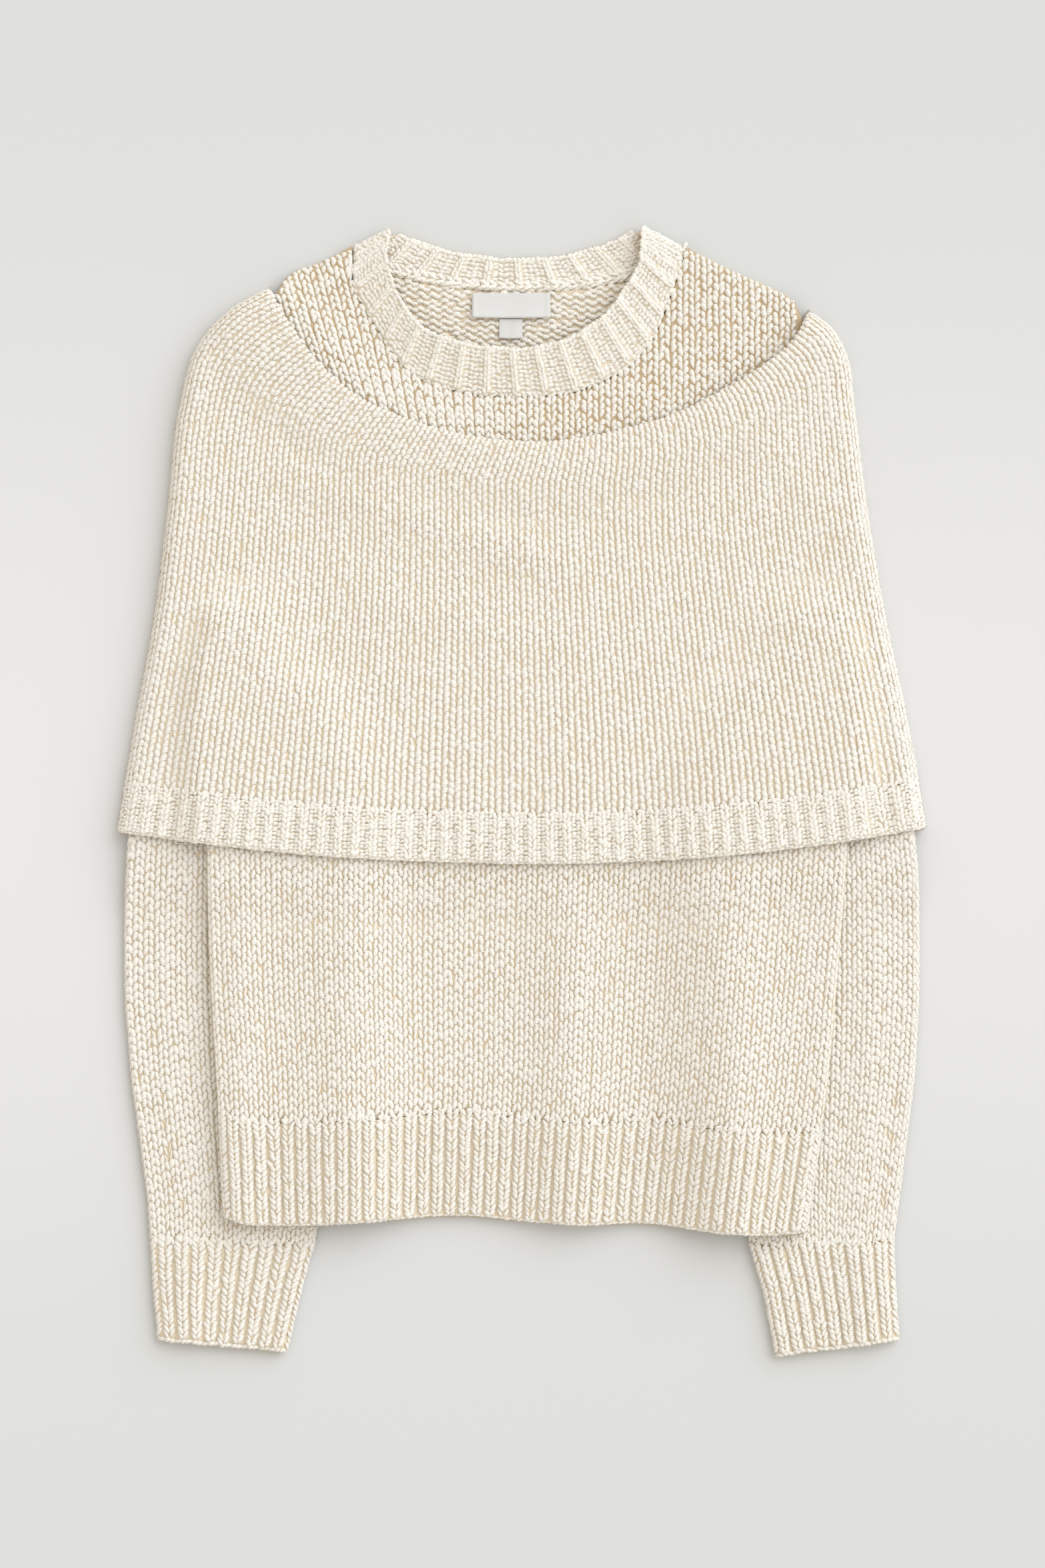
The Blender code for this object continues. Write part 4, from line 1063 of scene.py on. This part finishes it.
def cape_hem():
    top, at, gaps, room, gap_room = hem(
        "cape_hem_cloth", cape, CAPE_RIBS, CAPE_HEM_DEEP, cape_top, cape_seam, "cape_front_hem", CAPE_RIB, 6
    )
    rng = np.random.default_rng(12)
    yarns = Yarns()
    knit(yarns, top, at, room * 0.64, RIB_COURSE, rng, **CAPE_RIB_KNIT)
    for shift in (-0.1, 0.12):
        bumps(yarns, top, gaps + shift * gap_room, gap_room * 0.29, 2.3, rng, half=1.5, thick=1.1,
              first=2.0, sink=-0.15, slant=0.5)
    edging(yarns, top, 1.6, rng, long=4.6, half=1.5)
    place(yarns.make("cape_hem_stitches", LIGHTER_RIB_LOOK), "rib")


cape_hem()


def plain_hem(name, plan, cols, deep, n, level, seam, cells, node):
    """A hem that nothing shows of, with its knit as relief."""
    pair = [face_of(plan, cols, hem_rows(deep, d, n), level, seam, -1) for d in (0.0, CLOTH)]
    pair[1][0] = (pair[1][0] + pair[0][0]) / 2
    place(shell(name, *pair, [KNIT_LOOK, PURL_LOOK], cells), "rib", [node])


# The cape's back, on the table.
def floor_at(x, y, deep):
    return np.zeros(np.shape(x))


def floor_seam(x, y, deep):
    return np.full(np.shape(x), CLOTH)


def cape_back():
    plan = Plan(CAPE_LEFT, CAPE_RIGHT, CAPE_BACK_TOP, CAPE_HEM, CAPE_BACK_TURN, *CAPE_BACK_LEVEL)
    cols = columns(np.linspace(0, 1, 36), 3)
    size = plan.long(across(cols))
    pair = []
    for d in (0.0, CLOTH):
        rows = [("foot", value, d) for value in (CAPE_HEM_DEEP + SEAM_GAP / 2, 40.0)]
        rows += [("level", y, d) for y in np.arange(CAPE_BACK_LEVEL[1], CAPE_BACK_LEVEL[0] + 0.1, 15.0)]
        rows += [("top", size * f, d) for f in np.linspace(0.9, 0.0, 7)]
        pair.append(face_of(plan, cols, rows, floor_at, floor_seam, -1))
    place(shell("cape_back_cloth", *pair, [KNIT_LOOK, PURL_LOOK], (62, 42)), "knit", ["cape_back"])
    plain_hem("cape_back_hem_cloth", plan, cols, CAPE_HEM_DEEP, 4, floor_at, floor_seam, (90, 9),
              "cape_back_hem")


cape_back()


# The body: front and back.
def body_plan(neck):
    edge = joined(NECK_SPAN, SHOULDER_LEFT, neck, SHOULDER_RIGHT)
    return Plan(BODY_LEFT, BODY_RIGHT, edge, BODY_HEM, BODY_TURN, *BODY_LEVEL)


def neck_corners(plan):
    """Where the neck starts and stops, as shares of the body's cut upper edge."""
    start, stop = plan.cut
    return [(end - start) / (stop - start) for end in NECK_SPAN[1:3]]


def body_columns(plan, turns):
    left, right = neck_corners(plan)
    spread = list(np.linspace(0, left, 11)[:-1])
    spread += list(np.linspace(left, right, 45))
    spread += list(np.linspace(right, 1, 13)[1:])
    return columns(spread, turns)


def body_rows(plan, cols, d, inner):
    """Rows d under a body panel's face. Its shoulders turn over, its neck edge doesn't."""
    u = across(cols)
    left, right = neck_corners(plan)
    mask = smooth(np.maximum(left - u, u - right) / 0.03)
    size, low = plan.long(u), plan.low(u)
    begin = BODY_HEM_DEEP + SEAM_GAP / 2
    levels = [*np.arange(BODY_LEVEL[1], SLEEVE_TOP[0], 15.0)]
    levels += [*np.arange(SLEEVE_TOP[0], BODY_LEVEL[0] + 0.1, 14.5)]
    rows = [("foot", begin + (low - begin) * f, d) for f in (0.0, 0.5)]
    rows += [("level", y, d) for y in levels]
    rows += [("top", BODY_TURN + (size - BODY_TURN) * f, d) for f in np.linspace(0.88, 0.08, 8)]
    for turn in np.radians((90, 60, 30, 0)):
        curl = 1 - math.cos(turn)
        if inner:
            reach = CLOTH + (BODY_TURN - CLOTH) * curl
            rows.append(("top", reach * mask + BODY_TURN * curl * (1 - mask), d))
        else:
            reach = d * mask + (BODY_TURN - d * mask) * curl
            rows.append(("top", reach, d + (CLOTH - d) * (1 - math.sin(turn)) * mask))
    return rows


def front_level(x, y, deep):
    return front_top(x, y) + loose_folds(x, y)


def front_seam(x, y, deep):
    return front_level(x, y, deep) - CLOTH


def back_level(x, y, deep):
    return back_bottom(x, y)


def back_seam(x, y, deep):
    return back_bottom(x, y) + CLOTH


front = body_plan(NECK_FRONT)
back = body_plan(NECK_BACK)


def body_pair(plan, depths, level, seam, sign):
    """A body panel's outer and inner faces, at those depths."""
    cols = body_columns(plan, 4)
    rows = [body_rows(plan, cols, d, inner) for d, inner in zip(depths, (False, True))]
    return [face_of(plan, cols, part, level, seam, sign) for part in rows]


def front_cloth():
    pair = body_pair(front, (YARN, CLOTH), front_level, front_seam, 1)
    sheet = shell("front_cloth", *pair, [OPEN_LOOK, PURL_LOOK, YOKE_SHADE_LOOK], (56, 100))
    # Painted shade: the front's base cloth above YOKE_FROM takes the yoke's darker tan.
    for face in sheet.data.polygons:
        if face.material_index == 0 and face.center.y > YOKE_FROM * MM:
            face.material_index = 2
    place(sheet, "knit", ["front"])


def back_cloth():
    pair = body_pair(back, (0.0, CLOTH - INSIDE_YARN), back_level, back_seam, -1)
    place(shell("back_cloth", *pair, [KNIT_LOOK, HEM_LOOK], (56, 105)), "knit", ["back"])
    cols = columns(np.linspace(0, 1, 50), 3)
    plain_hem("back_hem_cloth", back, cols, BODY_HEM_DEEP, 7, back_level, back_seam, (86, 17), "back_hem")


def front_stitches(rng):
    """Only where the cape leaves the front bare, and a little beyond."""
    cols = columns(np.linspace(0, 1, 90), 5)
    low = front.low(across(cols))
    begin = BODY_HEM_DEEP - 2.0
    rows = [("foot", begin + (low - begin) * f, 0.0) for f in (0.0, 0.25, 0.5, 0.75)]
    rows += [("level", y, 0.0) for y in np.arange(BODY_LEVEL[1], 12.1, 6.0)]
    skin = Skin(face_of(front, cols, rows, front_level, front_seam))
    yarns = Yarns()
    knit(yarns, skin, *even(int(round(skin.wide / BODY_WALE))), BODY_COURSE, rng, **BODY_KNIT,
         keep=lambda p: p[:, 1] < CAPE_HEM_AT(p[:, 0]) + CAPE_OVERLAP)
    place(yarns.make("front_stitches", YARN_LOOK), "knit")


def front_hem(rng):
    top, at, _, room, _ = hem(
        "front_hem_cloth", front, BODY_RIBS, BODY_HEM_DEEP, front_level, front_seam, "front_hem", BODY_RIB, 9
    )
    yarns = Yarns()
    knit(yarns, top, at, room, HEM_COURSE, rng, **HEM_KNIT)
    edging(yarns, top, 1.6, rng, long=4.4, half=1.4)
    place(yarns.make("front_hem_stitches", YARN_LOOK), "rib")


body_rng = np.random.default_rng(21)
front_cloth()
back_cloth()
front_stitches(body_rng)
front_hem(body_rng)


# The yoke between the collar and the cape's rolled edge: level wales over the front.
class Field:
    """The front's upper face as heights, rounded off at the shoulders."""

    def __init__(self):
        t = np.linspace(0, 1, 160)
        lines = (SHOULDER_LEFT, SHOULDER_RIGHT, BODY_LEFT, BODY_RIGHT)
        self.edge = np.concatenate([curve(rows)(t) for rows in lines])

    def away(self, x, y):
        flat = np.stack([x.ravel(), y.ravel()], axis=1)
        out = np.empty(len(flat))
        for i in range(0, len(flat), 4000):
            gap = flat[i:i + 4000, None] - self.edge[None]
            out[i:i + 4000] = np.sqrt((gap ** 2).sum(-1)).min(1)
        return out.reshape(x.shape)

    def height(self, x, y):
        d = np.clip(self.away(x, y) / BODY_TURN, 0, 1)
        return front_top(x, y) - CLOTH + CLOTH * np.sqrt(1 - (1 - d) ** 2)

    def at(self, x, y, high):
        z = self.height(x, y)
        h = 0.4
        gx = (self.height(x + h, y) - self.height(x - h, y)) / (2 * h)
        gy = (self.height(x, y + h) - self.height(x, y - h)) / (2 * h)
        normal = unit(np.stack([-gx, -gy, np.ones_like(gx)], axis=-1))
        return np.stack([x, y, z], axis=-1) + normal * np.asarray(high)[..., None], normal


field = Field()
neck_line = curve(NECK_FRONT)(np.linspace(0, 1, 200))
shoulders = np.concatenate([
    curve(SHOULDER_LEFT)(np.linspace(0, 1, 60)), neck_line,
    curve(SHOULDER_RIGHT)(np.linspace(0, 1, 60)),
])


def neck_edge(x):
    """The height of the front's neck edge."""
    order = np.argsort(neck_line[:, 0])
    return np.interp(x, neck_line[order, 0], neck_line[order, 1])


def in_yoke(x, y):
    """Inside the front's outline, and not far under the cape."""
    left = np.interp(x, *np.array(SHOULDER_LEFT).T)
    top = np.where(x < 0, left, np.interp(x, *np.array(SHOULDER_RIGHT).T))
    middle_part = (x > neck_line[0, 0] + 6.0) & (x < neck_line[-1, 0] - 6.0)
    below = np.where(middle_part, y < neck_edge(x) + 2.5, y < top + 1.0)
    sides = (x > SIDE_LEFT(y) + 1.0) & (x < SIDE_RIGHT(y) - 1.0)
    return below & sides & (y > FOLD_AT(x) - YOKE_OVERLAP)


def wale_lines(x0, y):
    """Where the yoke's wales run: they lean towards the middle on the left shoulder."""
    lean = 0.30 * smooth((10.0 - x0) / 170.0)
    return x0 + lean * (YOKE_LEVEL - y)


def yoke():
    rng = np.random.default_rng(31)
    yarns = Yarns()
    starts = np.arange(*YOKE_ACROSS, WALE)
    heights = np.arange(*YOKE_UP, YOKE_COURSE)
    noise = slub(rng, len(starts), len(heights))
    gx, gy = np.meshgrid(starts, heights)
    good = in_yoke(wale_lines(gx, gy), gy)
    x0, y0 = gx[good], gy[good]
    n = len(x0)
    t = LEG_AT[None]
    for side in (-1, 1):
        fat = 1.02 + 0.08 * np.clip(noise[good], -1.6, 2) + rng.normal(0, 0.04, n)
        yy = y0[:, None] + (-0.18 + 1.3 * t + rng.normal(0, 0.1, (n, 1)) + 0.16 * side) * YOKE_COURSE
        off = side * (0.13 + 0.22 * smooth(t)) * WALE + rng.normal(0, 0.25, (n, 1))
        xx = wale_lines(x0[:, None], yy) + off
        edge = np.interp(xx, shoulders[:, 0], shoulders[:, 1])
        at_neck = (xx > neck_line[0, 0]) & (xx < neck_line[-1, 0])
        over = (yy - edge) / BODY_TURN + 1.0
        over = np.where(at_neck, 0.0, np.clip(over, 0, math.pi / 2))
        yy = np.where(over > 0, edge + BODY_TURN * (np.sin(over) - 1.0) - 0.3 * over, yy)
        high = -1.0 - 0.2 * (1 - t) ** 2 - 0.8 * t ** 3 + rng.normal(0, 0.12, (n, 1))
        line, up = field.at(xx, yy, high)
        full = np.array([0.55, 0.92, 1.1, 0.7])[None] * fat[:, None]
        yarns.add(line, up, 1.6 * full, 1.1 * full, 5, rng.random(n) * 7)
    place(yarns.make("yoke_stitches", YARN_LOOK), "knit")


yoke()


# The sleeves and cuffs.
def sleeve_puff(where, y):
    """How far the sleeve's top stands up where nothing lies on it."""
    rise, middle, half = PUFF
    bare = smooth((PUFF_TOP[0] - y) / PUFF_TOP[1])
    return rise * bare * np.exp(-(((where - middle) / half) ** 2))


def sections(rows, n):
    """n sections of a tube, evenly down its length."""
    pts = np.array(rows, float)
    mid = (pts[:, :2] + pts[:, 2:]) / 2
    run = np.concatenate([[0], np.cumsum(np.hypot(*np.diff(mid, axis=0).T))])
    at = np.linspace(0, run[-1], n)
    return np.stack([np.interp(at, run, pts[:, k]) for k in range(4)], axis=-1)


def tube_grid(rows, around, radius, ribs=0):
    """Points of a flattened tube. around is a list of kind and place, radius half the
    height of the face from the tube's middle, ribs how many its upper face has."""
    half = PAIR / 2
    grid = np.zeros((len(rows), len(around), 3))
    for r, (xo, yo, xi, yi) in enumerate(rows):
        wide = math.hypot(xi - xo, yi - yo)
        ux, uy = (xi - xo) / wide, (yi - yo) / wide
        for c, (kind, value) in enumerate(around):
            if kind in ("top", "low"):
                run = half + (wide - 2 * half) * value
                rise = radius if kind == "top" else -radius
            else:
                bend = math.radians(value)
                rise = radius * math.cos(bend)
                run = wide - half + radius * math.sin(bend)
                if kind == "out":
                    run = half - radius * math.sin(bend)
            grid[r, c] = (xo + ux * run, yo + uy * run, half + rise)
    x, y = grid[..., 0], grid[..., 1]
    grid[..., 2] += lift(x, y)
    for c, (kind, value) in enumerate(around):
        if kind == "top":
            grid[:, c, 2] += sleeve_puff(value, y[:, c])
            if ribs and radius > SLIT:
                fade = 0.3 + 0.7 * smooth((CUFF_FADE[0] - y[:, c]) / CUFF_FADE[1])
                grid[:, c, 2] += rib_profile(np.array(value * ribs), *BODY_RIB) * fade
    return grid


def tube_round(tops, unders):
    around = [("top", u) for u in tops] + [("in", a) for a in (30, 60, 90, 120, 150)]
    around += [("low", u) for u in unders]
    return around + [("out", a) for a in (150, 120, 90, 60, 30)]


def upper_round(tops):
    around = [("out", a) for a in (115, 90, 65, 40, 20)] + [("top", u) for u in tops]
    return around + [("in", a) for a in (20, 40, 65, 90, 115)]


def tube_cloth(name, rows, around, look, cells, slot, node, ribs=0):
    pair = [tube_grid(rows, around, ROLLED - YARN, ribs), tube_grid(rows, around, SLIT / 2)]
    place(shell(name, *pair, [look, PURL_LOOK], cells, loop=True), slot, [node])


def sleeve(side, arm, rng):
    around = tube_round(np.linspace(0, 1, 22), np.linspace(1, 0, 10))
    name, node = f"sleeve_{side}_cloth", f"sleeve_{side}"
    tube_cloth(name, sections(arm, 52), around, OPEN_LOOK, (34, 110), "knit", node)
    lines = sections(arm, 110)
    onward = lines[-1] + (lines[-1] - lines[-2]) * 0.55
    lines = np.concatenate([lines, onward[None]])
    skin = Skin(tube_grid(lines[::-1], upper_round(np.linspace(0, 1, 40)), ROLLED))

    def bare(p):
        x, y = p[:, 0], p[:, 1]
        beside = x < SIDE_LEFT(y) + SLEEVE_OVERLAP
        if side == "right":
            beside = x > SIDE_RIGHT(y) - SLEEVE_OVERLAP
        below = y < BODY_HEM_AT(x) + SLEEVE_OVERLAP
        weight = np.ones(len(p))
        for hole_x, hole_y in EYELETS[side]:
            weight[np.hypot(x - hole_x, y - hole_y) < EYELET_RADIUS] = EYELET_THIN
        return ((beside | below) & (y < CAPE_HEM_AT(x) + SLEEVE_OVERLAP)) * weight

    yarns = Yarns()
    knit(yarns, skin, *even(SLEEVE_WALES), BODY_COURSE, rng, **BODY_KNIT, keep=bare, most=130)
    place(yarns.make(f"sleeve_{side}_stitches", YARN_LOOK), "knit")


def cuff(side, rows, rng):
    tops = np.linspace(0, 1, CUFF_RIBS * 6 + 1)
    around = tube_round(tops, np.linspace(1, 0, 14))
    name, node = f"cuff_{side}_cloth", f"cuff_{side}"
    tube_cloth(name, sections(rows, 16), around, HEM_LOOK, (40, 18), "rib", node, CUFF_RIBS)
    lines = sections(rows, 30)
    lines = np.concatenate([(lines[0] + (lines[0] - lines[1]) * 0.9)[None], lines])
    skin = Skin(tube_grid(lines[::-1], upper_round(tops), ROLLED, CUFF_RIBS))
    at = np.interp((np.arange(CUFF_RIBS) + BODY_RIB[0]) / CUFF_RIBS, tops, skin.s[5:-5])
    room = np.gradient(at)
    at = np.clip(np.concatenate([[at[0] - room[0]], at, [at[-1] + room[-1]]]), 0.01, 0.99)
    room = np.concatenate([[room[0]], room, [room[-1]]])
    yarns = Yarns()
    knit(yarns, skin, at, room, RIB_COURSE, rng, **CUFF_KNIT)
    edging(yarns, skin, 1.0, rng, long=4.4, half=1.5)
    place(yarns.make(f"cuff_{side}_stitches", YARN_LOOK), "rib")


for seed, side, arm_rows, cuff_rows in (
    (41, "left", SLEEVE_LEFT, CUFF_LEFT), (42, "right", SLEEVE_RIGHT, CUFF_RIGHT),
):
    sleeve_rng = np.random.default_rng(seed)
    sleeve(side, arm_rows, sleeve_rng)
    cuff(side, cuff_rows, sleeve_rng)


# The collar: a flattened ring with the front half on the body and the back half below.
COLLAR_CURVES = {
    "front": (curve(NECK_FRONT), curve(FREE_FRONT)),
    "back": (curve(NECK_BACK), curve(FREE_BACK)),
}


def collar_point(kind, value, w, way, d):
    """A point of the collar: w from the seam to the free edge, d in from its outer face.
    way is 1 for the outside of the garment and -1 for the inside."""
    stand, low, high_level = COLLAR_STAND * w, CLOTH / 2, CLOTH * 1.5 + SLIT
    half = CLOTH / 2
    if kind in ("front", "back"):
        seam, free = COLLAR_CURVES[kind]
        run_at = COLLAR_RUN[0] + COLLAR_RUN[1] * value
        x, y = seam(run_at) * (1 - w) + free(run_at) * w
        if kind == "front":
            rest = float(lift(np.array(x), np.array(y)))
            return (x, y, high_level + stand + rest + way * (half - d))
        return (x, y, low - way * (half - d))
    i = 0 if kind == "left" else -1
    edge = np.array(NECK_FRONT[i]) * (1 - w) + np.array(FREE_FRONT[i]) * w
    run = unit(np.array(FREE_FRONT[i]) - np.array(NECK_FRONT[i]))
    out = np.array((-run[1], run[0])) if kind == "left" else np.array((run[1], -run[0]))
    bow = (high_level + stand - low) / 2
    centre = edge - out * (bow + half)
    turn = math.radians(value)
    radius = bow + way * (half - d)
    return (*(centre + out * radius * math.sin(turn)), low + bow + radius * math.cos(turn))


def collar_grid(around, ups, way, d, ridged):
    """A face of the collar, with ribs on its ridged half."""
    grid = np.array([[collar_point(kind, value, w, way, d) for kind, value in around] for w in ups])
    ribs = FRONT_RIBS if ridged == "front" else BACK_RIBS
    for c, (kind, value) in enumerate(around):
        if kind == ridged:
            grid[:, c, 2] += rib_profile(np.array(value * ribs), *COLLAR_RIB)
    return grid


def collar_cloth():
    ups = np.linspace(COLLAR_START / COLLAR_HIGH, 1.0, 9)
    around = [("front", v) for v in np.linspace(0, 1, FRONT_RIBS * 6 + 1)]
    around += [("right", a) for a in range(15, 180, 15)]
    around += [("back", v) for v in np.linspace(1, 0, BACK_RIBS * 6 + 1)]
    around += [("left", a) for a in range(165, 0, -15)]
    outer = collar_grid(around, ups, 1, YARN * 0.8, "front")
    inner = collar_grid(around, ups, -1, YARN * 0.8, "back")
    sheet = shell("collar_cloth", outer, inner, [HEM_LOOK, HEM_LOOK], (120, 8), loop=True)
    place(sheet, "rib", ["collar"])


def collar_half(yarns, kind, ribs, way, rng):
    """The stitches of the collar's front half with its turned ends, or of its back half."""
    ups = np.linspace(COLLAR_START / COLLAR_HIGH, 1.0, 20)
    spread = np.linspace(0, 1, ribs * 8 + 1)
    around = [(kind, v) for v in spread]
    turns = (110, 80, 50, 25) if kind == "front" else ()
    around = [("left", a) for a in turns] + around + [("right", a) for a in turns[::-1]]
    skin = Skin(collar_grid(around, ups, way, 0.0, kind))
    s_of = skin.s[len(turns):len(skin.s) - len(turns)]
    at = np.interp((np.arange(ribs) + COLLAR_RIB[0]) / ribs, spread, s_of)
    gaps = np.interp((np.arange(ribs + 1) + COLLAR_VALLEY) / ribs, spread, s_of)
    wide = np.gradient(gaps)
    if kind == "front":
        share = (np.arange(4) + 0.4) / 4
        turned = np.concatenate([share * s_of[0], 1 - share * (1 - s_of[-1])])
        width = np.repeat([s_of[0] / 4, (1 - s_of[-1]) / 4], 4)
        knit(yarns, skin, turned, width, HEM_COURSE, rng, **COLLAR_END_KNIT)
    knit(yarns, skin, at, np.gradient(at) * 0.3, HEM_COURSE, rng, **COLLAR_KNIT)
    for shift, slant in ((-0.25, 0.6), (-0.085, -0.4), (0.085, 0.6), (0.25, -0.4)):
        bumps(yarns, skin, np.clip(gaps + shift * wide, 0.0, 1.0), wide * 0.23, 2.75, rng,
              half=1.65, thick=1.05, sink=-0.1, slant=slant)
    edging(yarns, skin, 0.2, rng, long=5.0, half=1.5, sink=0.5)
    edging(yarns, skin, skin.lane(0.5)[-1] - 1.0, rng, long=4.6, half=1.5, sink=-0.3)
    if kind == "back":
        for height, slant in ((1.6, 1.5), (4.4, -1.5)):
            edging(yarns, skin, height, rng, long=5.2, half=1.4, thick=0.9, slant=slant, sink=-0.5)


def collar_stitches():
    rng = np.random.default_rng(51)
    yarns = Yarns()
    collar_half(yarns, "front", FRONT_RIBS, 1, rng)
    collar_half(yarns, "back", BACK_RIBS, -1, rng)
    place(yarns.make("collar_stitches", LIGHTER_RIB_LOOK), "rib")


collar_cloth()
collar_stitches()


def neck_inside():
    """Wrong-side stitches inside the back of the neck."""
    rng = np.random.default_rng(61)
    yarns = Yarns()
    back_neck = curve(NECK_BACK)(np.linspace(0, 1, 120))
    for way, shift in ((1, 0.0), (-1, 0.5)):
        gx, gy = np.meshgrid(np.arange(*NECK_ACROSS, WALE) + shift * WALE, np.arange(*NECK_UP, COURSE))
        seam = np.interp(gx, back_neck[:, 0], back_neck[:, 1])
        good = (gy < seam) & (gy > neck_edge(gx) - 3.0)
        x0, y0 = gx[good][:, None], gy[good][:, None]
        n = len(x0)
        t = np.linspace(-1, 1, 6)[None]
        x = x0 + 0.46 * WALE * t + rng.normal(0, 0.3, (n, 1))
        y = y0 + way * (0.26 - 0.5 * t * t) * COURSE + rng.normal(0, 0.4, (n, 1))
        y = y + 0.4 * t * rng.normal(0, 1, (n, 1))
        z = back_bottom(x, y) + CLOTH - 1.0 + 0.5 - 0.85 * t * t
        z = z + rng.normal(0, 0.12, (n, 1)) - 0.25 * shift
        line = np.stack([x, y, z], axis=-1)
        yarns.strands(line, np.broadcast_to(UP, line.shape), 1.65, 1.05, PURL_FULL, 5, rng)
    place(yarns.make("neck_inside_stitches", YARN_LOOK), "knit")


neck_inside()


# Blank neck ribbon and size tab, in place of their plates.
def ribbon(name, box, node, thick, bow, drop, folded):
    """A ribbon with bow as the height of its waves and drop that of its lower edge.
    folded is how much its turned-in ends stand up."""
    x0, y0, x1, y1 = box
    gx, gy = np.meshgrid(np.linspace(x0, x1, 33), np.linspace(y0, y1, 13))
    fx, fy = (gx - x0) / (x1 - x0), (gy - y0) / (y1 - y0)
    wave = bow * np.sin(math.pi * fx) * (0.6 + 0.4 * np.sin(3 * math.pi * fx + 0.6))
    turned = smooth((TURNED_IN[0] - np.minimum(fx, 1 - fx)) / TURNED_IN[1])
    wave = wave + drop * (1 - fy) ** 2 + folded * turned
    low = CLOTH + SEAM_GAP + thick
    top = np.stack([gx, gy - 0.35 * np.sin(math.pi * fx) * (1 - fy), low + wave], axis=-1)
    place(shell(name, top, top - thick * UP, [RIBBON_LOOK], (40, 12)), "ribbon", [node])


def ribbon_thread():
    """A line of stitches at both ends of the neck ribbon."""
    rng = np.random.default_rng(71)
    yarns = Yarns()
    x0, y0, x1, y1 = NECK_LABEL
    for x in (x0 + THREAD_IN, x1 - THREAD_IN):
        ys = np.arange(y0 + 1.0, y1 - 0.6, THREAD_PITCH)[:, None]
        t = np.linspace(0, 1, 5)[None]
        drop = 0.5 * (1 - (ys - y0) / (y1 - y0)) ** 2
        z = CLOTH + SEAM_GAP + 0.5 + 0.12 * np.sin(math.pi * t) + drop
        line = np.stack([x + 0 * t + rng.normal(0, 0.05, ys.shape), ys + THREAD_LONG * t, z], axis=-1)
        yarns.add(line, np.broadcast_to(UP, line.shape), 0.16, 0.12, 5, rng.random(len(ys)))
    place(yarns.make("ribbon_thread", THREAD_LOOK), "ribbon")


ribbon("neck_ribbon", NECK_LABEL, "neck_label", thick=0.35, bow=0.45, drop=1.5, folded=0.35)
ribbon("size_ribbon", SIZE_TAB, "size_tab", thick=0.3, bow=0.25, drop=1.0, folded=0.0)
ribbon_thread()


# The studio: pale floor, soft key light from the upper right, even fill.
def floor():
    mesh = bpy.data.meshes.new("floor")
    half, low = 3.0, -0.0002
    corners = [(-half, -half, low), (half, -half, low), (half, half, low), (-half, half, low)]
    mesh.from_pydata(corners, [], [(0, 1, 2, 3)])
    thing = bpy.data.objects.new("floor", mesh)
    bpy.context.scene.collection.objects.link(thing)
    look = Look("paper_floor", {"Roughness": 0.95, "Specular IOR Level": 0.1})
    # Painted shade: the floor's colour darkens with distance from its middle line along y, as the light falls
    # off, with a little random tone.
    away = look.calc("ABSOLUTE", look.split("Object")["Y"])
    total = look.calc("MULTIPLY_ADD", look.noise(1.3), 0.08, away)
    colour = look.ramp(total, 0.06, (0.747, 0.755, 0.766), 0.50, (0.671, 0.685, 0.682), "EASE")
    mesh.materials.append(look.finish(colour))


def sun(name, toward, strength, angle, tint):
    data = bpy.data.lights.new(name, "SUN")
    data.energy, data.angle, data.color = strength, angle, tint
    thing = bpy.data.objects.new(name, data)
    thing.location = toward
    thing.rotation_mode = "QUATERNION"
    thing.rotation_quaternion = (-Vector(toward)).to_track_quat("-Z", "Y")
    bpy.context.scene.collection.objects.link(thing)


floor()
world = bpy.data.worlds.new("studio")
world.use_nodes = True
fill = world.node_tree.nodes["Background"].inputs
fill["Color"].default_value = (1.0, 0.943, 0.8615, 1)
fill["Strength"].default_value = 0.811
bpy.context.scene.world = world
sun("key", toward=(1.4, 1.1, 1.3), strength=1.9, angle=math.radians(60), tint=(0.86, 0.92, 1.0))

# Camera straight above, over the middle of the photograph's frame.
PIXEL = 0.43                    # millimetres for each pixel of the photograph
FRAME = (1568, 2352)
ORIGIN_PIXEL = (781.5, 1186.5)  # where the photograph shows x = 0, y = 0
LENS, SENSOR = 120.0, 36.0
EYE_RAISED = 0.012              # metres above the table where the frame is true to size
camera = bpy.data.cameras.new("camera")
camera.lens = LENS
camera.sensor_width = SENSOR
camera.clip_end = 20.0
eye = bpy.data.objects.new("camera", camera)
eye.location = (
    (FRAME[0] / 2 - ORIGIN_PIXEL[0]) * PIXEL * MM - CENTRE[0] * MM,
    (ORIGIN_PIXEL[1] - FRAME[1] / 2) * PIXEL * MM,
    FRAME[1] * PIXEL * MM * LENS / SENSOR + EYE_RAISED,
)
bpy.context.scene.collection.objects.link(eye)
bpy.context.scene.camera = eye
bpy.context.scene.view_settings.view_transform = "Standard"
bpy.context.scene.view_settings.look = "None"
